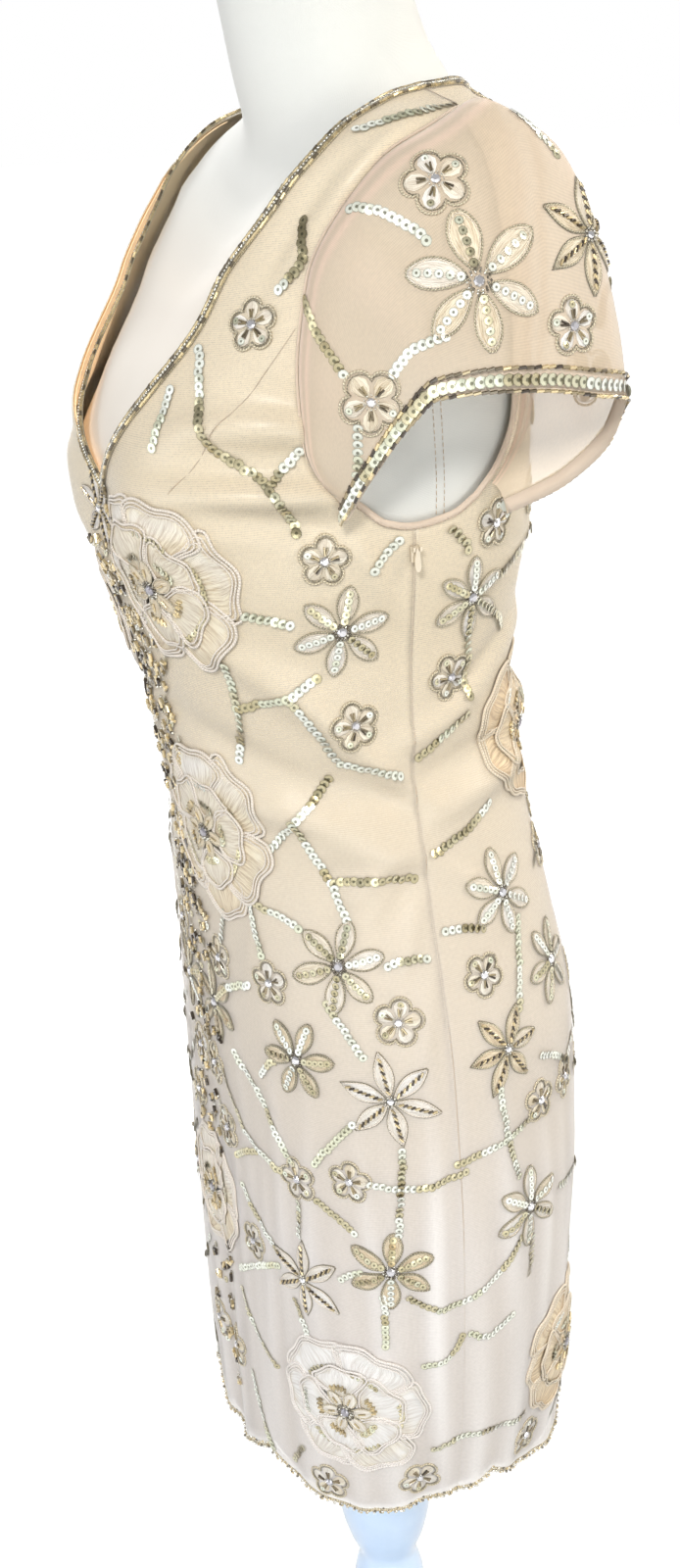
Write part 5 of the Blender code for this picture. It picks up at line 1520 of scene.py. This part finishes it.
def front_beadwork(blocked):
    """Sprigs of beads scattered over the centre front, thinning out towards the hem."""
    columns = np.array(FRONT_WORK)[::-1]
    for row, station in enumerate(np.arange(0.500, 1.176, 0.0098)):
        wide, filled = (float(np.interp(station, columns[:, 0], columns[:, k])) for k in (1, 2))
        for angle in np.arange(-wide, wide + 0.1, 4.6) + (row % 2) * 2.3:
            place = (station + chance.normal(0, 0.0014), -90 + angle + chance.normal(0, 0.5))
            made, turn = sprig(), chance.normal(0, 38) + (0 if row % 3 else 180)
            spot = mesh_point(*place)
            if chance.random() < filled and clear(spot, blocked):
                made.sew(dress_ground, place, turn)


# Each kind of flower: its radius, and what makes one for a group
KINDS = {"small": (SMALL_SIZE, small_flower), "daisy": (DAISY_SIZE, daisy),
         "bronze daisy": (DAISY_SIZE, lambda group: daisy(group, True)),
         "pointed": (POINTED_SIZE, pointed_flower),
         "olive pointed": (POINTED_SIZE, lambda group: pointed_flower(group, True))}


def mirrored(places):
    """(station, angle) places taken to the other side of the dress."""
    return [(station, 180 - angle) for station, angle in places]


def sewn_work():
    """All the flowers, roses and rows of sequins."""
    taken = []
    for station, angle, radius, turn, tone in ROSES:
        taken.append((mesh_point(station, angle), radius * 0.93))
        rose(radius, tone).sew(dress_ground, (station, angle), turn)
    for rows, flip in ((FLOWERS, False), (FLOWERS, True), (BACK_FLOWERS, False)):
        for kind, station, angle, turn, share in rows:
            place = (station, 180 - angle) if flip else (station, angle)
            radius, maker = KINDS[kind]
            centre, radius = mesh_point(*place), radius * share * 0.72
            if all(np.linalg.norm(centre - other) >= radius + reach for other, reach in taken):
                taken.append((centre, radius))
                maker("flower").sew(dress_ground, place, turn, share, flip)
    blocked = [(centre, radius * (1.02 if radius > 0.04 else 0.92)) for centre, radius in taken]
    front_beadwork([(centre, radius * 0.86 + 0.004) for centre, radius in taken])
    for row in CHAINS:
        chain(dress_ground, row, "left", blocked)
        chain(dress_ground, mirrored(row), "right", blocked)
    for row in BACK_CHAINS:
        chain(dress_ground, row, "left", blocked)
    for row in (SHOULDER_CHAIN, mirrored(SHOULDER_CHAIN)):
        chain(dress_ground, row, "left")
    for ground, flip in ((left_sleeve, False), (right_sleeve, True)):
        covered = []
        for kind, share, down, turn, size in SLEEVE_FLOWERS:
            radius, maker = KINDS[kind]
            covered.append((ground.point(np.array(1 - down), np.array(share)), radius * size * 0.72))
            maker("sleeve").sew(ground, (1 - down, share), turn, size, flip)
        for row in SLEEVE_CHAINS:
            chain(ground, [(1 - down, share) for share, down in row], "sleeve", covered, lift=0.0006)


# ---------------------------------------------------------------- edges and trims
def whole_loop(half):
    """Join a left-hand edge on the middle plane with its mirror image."""
    return np.concatenate([half, half[1:-1][::-1] * (-1, 1, 1)])


def make_neck_trim():
    """Two rows of bronze bugles with seed beads between, on a narrow braid."""
    front = along(NECK_FRONT, np.linspace(0, 1, 90))
    back = along(NECK_BACK, np.linspace(0, 1, 60))
    station, angle = np.concatenate([front, back[1:]]).T
    edge, facing = whole_loop(mesh_point(station, angle)), whole_loop(skin_normal(station, angle))
    braid = Bundle()
    braid.tube(edge + facing * 0.0003, facing, 0.0080, 0.0012, 0.58, closed=True, sides=6)
    braid.piece("neck_braid", CORD, "beads", ("neck_bead_band",))
    across = unit(np.cross(facing, heading(edge, True)))
    for offset, kind, pitch, size in ((-0.0028, "bugle", 0.0040, 0.0040), (0.0028, "bugle", 0.0040, 0.0040),
                                      (0.0, "seed", 0.0024, 0.0012)):
        line, way = evenly_out(edge + across * offset + facing * 0.0006, facing, pitch, True)
        if kind == "bugle":
            tones, skew = chance.choice([0.05, 0.30, 0.60, 0.90], len(line)), 0.06
        else:
            tones, skew = chance.uniform(0.0, 0.6, len(line)), 0.0
        rows_of_beads(kind, "neck", line, way, size, tones, closed=True, skew=skew)


def make_hem_trim():
    """Beaded rope on the scallops: seed beads and bugles wound round a core."""
    angles = np.linspace(-90, 270, 720, endpoint=False)
    stations = hem_station(angles) - 0.0019
    normals = skin_normal(stations, angles)
    centre = mesh_point(stations, angles) - normals * 0.0008
    core = Bundle()
    core.tube(centre, normals, 0.0030, 0.0030, 0.45, closed=True, sides=6)
    core.piece("hem_core", CORD, "beads", ("hem_bead_band",))
    points, out = evenly_out(centre, normals, 0.0010, True)
    ahead = heading(points, True)
    across = np.cross(out, ahead)
    for k in range(len(points)):
        turn = k * 1.25
        way = out[k] * math.cos(turn) + across[k] * math.sin(turn)
        tone = float(chance.choice([0.0, 0.1, 0.3, 0.9]))
        put_bead("seed", "hem", points[k] + way * 0.0013, way, ahead[k], 0.00110, tone)
        if k % 3 == 0:
            along_it = unit(ahead[k] + across[k] * 0.5)
            tone = float(chance.uniform(0, 0.4))
            put_bead("bugle", "hem", points[k] + way * 0.0016, way, along_it, 0.0032, tone)


def make_sleeve_trims():
    """Sequins between two rows of bronze bugles along each sleeve's edge."""
    share = np.linspace(0.002, 0.998, 220)
    fall = np.interp(share, [0, 0.12, 0.5, 0.88, 1], [0.030, 0.085, 0.17, 0.09, 0.035])
    for ground, side in ((left_sleeve, "left"), (right_sleeve, "right")):
        points, _, _, normals = ground.stand(0.0074 / fall, share, np.zeros(len(share)))
        backing = Bundle()
        backing.tube(points, normals, 0.0104, 0.0008, sides=6)
        backing.piece(f"sleeve_braid_{side}", BINDING, "beads", (f"sleeve_bead_band_{side}",), turn_out=True)
        for up, kind, pitch, size, lift in (
                (0.0008, "bugle", 0.0045, 0.0044, 0.0006), (0.0140, "bugle", 0.0045, 0.0044, 0.0006),
                (0.0074, "sequin", 0.0053, 0.0038, 0.0013)):
            points, _, _, normals = ground.stand(up / fall, share, np.full(len(share), lift))
            line, out = evenly_out(points, normals, pitch)
            if kind == "sequin":
                tones, lean = glint_and_tone_stretches(len(line), 0.45), 0.18
            else:
                tones, lean = chance.choice([0.1, 0.6, 0.9, 1.0], len(line)), 0.0
            rows_of_beads(kind, "sleeve", line, out, size, tones, lean=lean, skew=0.14)


def armhole_path(count):
    """(station, angle) points once round the armhole from the shoulder down the front."""
    front = along(ARMHOLE_FRONT, np.linspace(1, 0, count))
    back = along(ARMHOLE_BACK, np.linspace(0, 1, count))
    knots = np.array(UNDERARM_FRONT[::-1] + UNDERARM_BACK[1:], float)
    share = np.concatenate([[0], np.cumsum(np.abs(np.diff(knots[:, 1])))])
    under = smooth_path(share, knots, np.linspace(0, share[-1], count // 2))
    return np.concatenate([front, under[1:-1], back[:-1]])


def make_bindings():
    """Rolled nude binding round each armhole, with its stitching, and the sleeve's seam bands."""
    station, angle = armhole_path(60).T
    normals, edge = skin_normal(station, angle), skin_point(station, angle)
    inward = unit(np.cross(heading(edge, True), normals))
    inward *= np.sign(dot(inward, edge.mean(axis=0) - edge))[:, None]
    roll = edge + inward * 0.0022 - normals * HALF_CLOTH
    stitched = edge + inward * 0.0008 + normals * 0.0005
    sewn = np.concatenate([np.arange(len(edge) - 50, len(edge)), np.arange(0, 52)])
    band = evenly((edge - inward * 0.0010 + normals * 0.0008)[sewn], 0.004)
    spots = np.argmin(np.linalg.norm(band[:, None] - edge[None], axis=-1), axis=1)
    taper = np.clip(np.minimum(np.arange(len(band)), np.arange(len(band))[::-1]) / 8, 0.05, 1)
    for side, mirror in (("left", 1), ("right", -1)):
        flip = np.array((mirror, 1, 1))
        binding = Bundle()
        binding.tube(roll * flip, normals * flip, 0.0046, 0.0028, closed=True, sides=10)
        binding.piece(f"rolled_binding_{side}", BINDING, "binding", (f"armhole_binding_{side}",),
                      turn_out=True)
        bands = Bundle()
        bands.tube(band * flip, normals[spots] * flip, 0.0018 * taper, 0.0010 * taper, sides=6)
        bands.piece(f"seam_bands_{side}", BINDING, "binding", turn_out=True)
        line, out = evenly_out(stitched * flip, normals * flip, 0.0031, True)
        rows_of_beads("stitch", "thread", line, out, 0.0020, np.zeros(len(line)), closed=True)


def make_seams():
    """Bust darts, side seams and shoulder seams, as pressed lines."""
    side_seam = ((1.146, 0.3), (1.0, 0.3), (0.80, 0.3), (HEM_HEIGHT + 0.022, 0.3))
    shoulder_seam = ((SHOULDER_END, 6), (1.41, 6), (NECK_SHOULDER - 0.003, 6))
    seams = Bundle()
    for other in (False, True):
        for places, width in ((BUST_DART, 0.0006), (side_seam, 0.0008), (shoulder_seam, 0.0012)):
            places = np.array(places, float)
            station, angle = smooth_path(np.linspace(0, 1, len(places)), places, np.linspace(0, 1, 120)).T
            if other:
                angle = 180 - angle
            line = mesh_point(station, angle, -0.0002)
            seams.tube(line, skin_normal(station, angle), width, 0.0004, sides=4)
    # the thread colour, darker than the cloth, is partly the seams' sewing thread and partly painted shade in
    # their grooves
    seams.piece("pressed_seams", THREAD, "satin", turn_out=True)


def seam_inside(station, angle, depth):
    """Point at a depth under the cloth by the zip's seam."""
    lift = skirt_fold(station, angle) + relief(CREASED, station, angle) - CLOTH - depth
    return lifted(station, angle, lift)


def make_zip():
    """Woven tape behind the seam with its coil."""
    stations = np.linspace(ZIP_BOTTOM, ZIP_TOP, 60)
    station, angle = np.meshgrid(stations, np.degrees(np.linspace(-1, 1, 7) * 0.011 / 0.145), indexing="ij")
    tape = Bundle()
    tape.grid(seam_inside(station, angle, 0.0012), cloth_maps(station, angle))
    piece = tape.piece("woven_zip_tape", TAPE, "binding", ("zip_tape",))
    add_wall(piece, 0.0008)
    coil, out = evenly_out(seam_inside(stations, 0.0, 0.0034), skin_normal(stations, 0.0), 0.0013)
    rows_of_beads("bugle", "coil", coil, -out, 0.0034, np.zeros(len(coil)), skew=math.pi / 2)


# ---------------------------------------------------------------- form and stand
def make_form():
    """Smooth jersey torso with its seams."""
    stations = np.concatenate([np.linspace(FORM_BOTTOM, 1.36, 70), np.linspace(1.366, NECK_TOP, 40)])
    s, a = np.meshgrid(stations, ROUND_FORM, indexing="ij")
    groove = np.zeros(s.shape)
    for seam in (8.0, 90.0, 172.0, 270.0):
        groove -= 0.0005 * np.exp(-(wrapped(a - seam) / 1.6) ** 2)
    bundle = Bundle()
    bundle.grid(lifted(s, a, -(CLOTH + section("ease", s)) + groove), cloth_maps(s, a), around=True)
    count = len(ROUND_FORM)
    bundle.faces.append(list(range(count))[::-1])
    bundle.faces.append(list(range(bundle.count - count, bundle.count)))
    bundle.piece("jersey_torso", JERSEY, "jersey", ("form_torso",))
    station = np.linspace(FORM_BOTTOM + 0.02, 1.37, 260)
    inset = (CLOTH + section("ease", station) + 0.0003)[:, None]
    for seam in (8.0, 172.0, 90.0):
        normal = skin_normal(station, seam)
        for shift in (-1.0, 1.0):
            path, out = evenly_out(skin_point(station, seam + shift) - inset * normal, normal, 0.0040)
            rows_of_beads("stitch", "form", path, out, 0.0026, np.zeros(len(path)))


def lathe(name, profile, sides, instead_of):
    """Turn a (radius, height) profile, top to bottom, in lacquer."""
    profile = np.array(profile, float)
    rings = rings_round(profile[:, 0], profile[:, 1], sides)
    turns = np.linspace(0, 2 * np.pi, sides, endpoint=False)
    maps = np.stack(np.broadcast_arrays(turns * 0.03, lengths(profile)[:, None]), axis=-1)
    bundle = Bundle()
    bundle.grid(rings, maps, around=True, flip=True)
    bundle.piece(name, LACQUER, "lacquer", (instead_of,), merge=1e-6, turn_out=True)


def through(points, count):
    """A smooth profile through points given from top to bottom."""
    points = np.array(points, float)
    length = lengths(points)
    return smooth_path(length, points, np.linspace(0, length[-1], count))


def make_stand():
    """Pole, turned column, round base and the cap on the neck."""
    pole = [(0.0, 0.7397), (0.0115, 0.7397), (0.0125, 0.7387), (0.0125, 0.4013), (0.0, 0.4003)]
    lathe("lacquered_pole", pole, 48, "stand_pole")
    shoulder = through([(0.0270, 0.398), (0.033, 0.392)], 5)[:-1]
    body = through([(0.033, 0.392), (0.037, 0.375), (0.0355, 0.330), (0.0300, 0.304), (0.0235, 0.286),
                    (0.0225, 0.281), (0.0250, 0.272), (0.0275, 0.258), (0.0270, 0.235), (0.0220, 0.180),
                    (0.0185, 0.120), (0.0200, 0.075), (0.0270, 0.046), (0.0290, 0.032)], 80)
    column = np.concatenate([[(0.0, 0.400), (0.024, 0.400), (0.0262, 0.3992)], shoulder, body,
                             [(0.0290, 0.0275), (0.0280, 0.0263), (0.0, 0.0263)]])
    lathe("turned_column", column, 56, "stand_column")
    rim = through([(0.040, 0.026), (0.090, 0.021), (0.150, 0.014), (0.166, 0.010), (0.170, 0.005),
                   (0.168, 0.0004)], 30)
    lathe("round_base", np.concatenate([[(0.0, 0.026)], rim, [(0.0, 0.0)]]), 128, "stand_base")
    ring = lifted(np.full(len(ROUND_FORM), NECK_TOP), ROUND_FORM, -0.0028)
    middle = ring.mean(axis=0)
    levels = [(0.0, 0.0003), (0.96, 0.0003), (0.99, 0.0010)]
    for t in np.linspace(0, math.pi / 2, 8):
        levels.append((1.0 - 0.25 * (1 - math.cos(t)), 0.0022 + 0.0078 * math.sin(t)))
    levels.append((0.0, 0.0101))
    rows = np.array([middle + (ring - middle) * grow + (0, 0, up) for grow, up in levels])
    cap = Bundle()
    cap.grid(rows, np.zeros(rows.shape[:2] + (2,)), around=True)
    cap.piece("neck_cap", LACQUER, "lacquer", ("form_neck_cap",), merge=1e-6, turn_out=True)


# ---------------------------------------------------------------- camera, lights, floor
# Name, place, target, size, power and colour of each light
LIGHTS = (
    ("key light", (5.2, -3.6, 5.4), (0, 0, 0.9), (1.5, 1.5), 362, (1.0, 0.985, 0.955)),
    ("window light", (-0.4, -3.6, 1.2), (0, 0, 0.8), (1.6, 2.2), 27, (0.92, 0.96, 1.0)),
    ("low fill", (2.6, -0.4, 0.7), (0, 0, 1.1), (1.4, 1.4), 20, (0.96, 1.0, 0.98)),
    ("back light", (2.2, 2.8, 2.8), (0, 0, 0.9), (1.2, 1.2), 50, (1.0, 0.92, 0.80)),
    ("rear light", (-1.6, 4.6, 4.2), (0, 0, 0.9), (1.6, 1.6), 165, (1.0, 0.95, 0.86)),
    ("far side light", (-3.2, 0.3, 3.4), (0, 0, 0.9), (1.2, 1.2), 105, (1.0, 0.98, 0.95)))


# Grey of the sky by height: 0 straight down, 0.5 level, 1 straight up
SKY = ((0.0, 0.34), (0.46, 0.34), (0.49, 0.9), (0.545, 0.9), (0.58, 0.22), (0.99, 0.26), (1.0, 0.26))


def place_camera():
    """Camera at the left side of the front, tilted down and rolled a little."""
    camera = bpy.data.cameras.new("camera")
    holder = show("camera", camera)
    azimuth, distance, height = math.radians(69.3), 1.26, 1.404
    pitch, roll = math.radians(20.2), math.radians(-3.6)
    level = math.cos(pitch)
    ahead = Vector((-math.sin(azimuth) * level, math.cos(azimuth) * level, -math.sin(pitch)))
    right = Vector((math.cos(azimuth), math.sin(azimuth), 0))
    up = right.cross(ahead)
    right, up = right * math.cos(roll) + up * math.sin(roll), up * math.cos(roll) - right * math.sin(roll)
    turn = Matrix((right, up, -ahead)).transposed().to_4x4()
    place = math.sin(azimuth) * distance, -math.cos(azimuth) * distance, height
    holder.matrix_world = Matrix.Translation(place) @ turn
    camera.sensor_fit, camera.sensor_height, camera.lens = "VERTICAL", 24.0, 24.0 * 1977 / 1600
    camera.clip_start, camera.clip_end = 0.02, 60
    bpy.context.scene.camera = holder


def make_studio():
    """Lights, sky, floor and a white backdrop."""
    for name, place, target, size, power, colour in LIGHTS:
        light = bpy.data.lights.new(name, "AREA")
        light.shape, light.size, light.size_y = "RECTANGLE", *size
        light.energy, light.color = power, colour
        aim = (Vector(target) - Vector(place)).to_track_quat("-Z", "Y").to_matrix().to_4x4()
        show(name, light).matrix_world = Matrix.Translation(place) @ aim
    world = bpy.data.worlds.new("studio")
    world.use_nodes = True
    sky = Nodes(world.node_tree)
    direction = sky.node("ShaderNodeTexCoord").outputs["Generated"]
    height = sky.value("ShaderNodeSeparateXYZ", None, {0: direction}, "Z")
    halved = sky.value("ShaderNodeMath", {"operation": "MULTIPLY_ADD"}, {0: height, 1: 0.5, 2: 0.5})
    stops = [(where, (grey,) * 3) for where, grey in SKY]
    fade = sky.value("ShaderNodeValToRGB", {"stops": stops}, {0: halved})
    sky.feed(sky.tree.nodes["Background"].inputs["Color"], fade)
    bpy.context.scene.world = world
    bpy.context.scene.view_settings.view_transform = "Standard"

    rings = rings_round([0.0, 0.5, 1.5, 4.0, 12.0, 40.0], -0.0002, 96)
    ground = Bundle()
    ground.grid(rings, rings[..., :2], around=True)
    floor = show("floor", ground.mesh("floor", merge=1e-6))
    floor.data.materials.append(floor_look())
    floor.visible_diffuse = False      # the floor shows, and the sky below it fills the shadows softly

    rise = np.linspace(0, math.pi / 2, 24)
    rings = rings_round(39 * np.cos(rise), 39 * np.sin(rise) - 0.001, 96)
    dome = Bundle()
    dome.grid(rings, rings[..., :2], around=True, flip=True)
    backdrop = show("backdrop", dome.mesh("backdrop", merge=1e-6))
    white = Look("plain white backdrop", Base_Color=(0, 0, 0), Roughness=1.0, Specular_IOR_Level=0.0,
                 Emission_Color=(1.0, 1.0, 1.0), Emission_Strength=1.0)
    backdrop.data.materials.append(white.material)
    backdrop.visible_diffuse = backdrop.visible_glossy = backdrop.visible_shadow = False


# ---------------------------------------------------------------- putting it together
place_camera()
make_studio()
panels = make_cloth()
sleeves = make_sleeves()
facing = make_facing()
make_form()
make_stand()
sewn_work()
make_neck_trim()
make_hem_trim()
make_sleeve_trims()
make_bindings()
make_seams()
make_zip()

ROSE_NODES = (
    "rose_bust_left", "rose_waist_front", "rose_thigh_front", "rose_hem_left", "rose_hem_back_left",
    "rose_waist_back_left", "rose_bust_right", "rose_hem_right", "rose_hem_back_right", "rose_waist_right",
    "rose_back_upper")
for group, name, nodes in (("rose", "rose", ROSE_NODES), ("flower", "flower", ()),
                           ("sleeve", "sleeve_flower", ())):
    cords[group].piece(f"{name}_cords", CORD, "embroidery", nodes)
    fills[group].piece(f"{name}_petals", SILK, "embroidery")
MANY = {"stitch": "stitches"}
# Each kind of bead: its finish, its slot and how far it may tilt, in degrees
FINISHES = {"sequin": (SEQUIN, "beads", 5.0), "bugle": (BRONZE, "beads", 4.0),
            "spoke": (BRONZE, "beads", 4.0), "seed": (SILVER, "beads", 0.0),
            "crystal": (CRYSTAL, "beads", 0.0), "stitch": (THREAD, "satin", 2.0)}
for number, ((kind, group), rows) in enumerate(sorted(beads.items())):
    finish, slot, tilt = FINISHES[kind]
    SEWING.sew(f"{MANY.get(kind, kind + 's')}_{group}", kind, rows, finish, slot, tilt, number + 3)

for name in ("zip_slider", "zip_pull"):
    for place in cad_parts[name].material_slots:
        place.material = ZIP_METAL
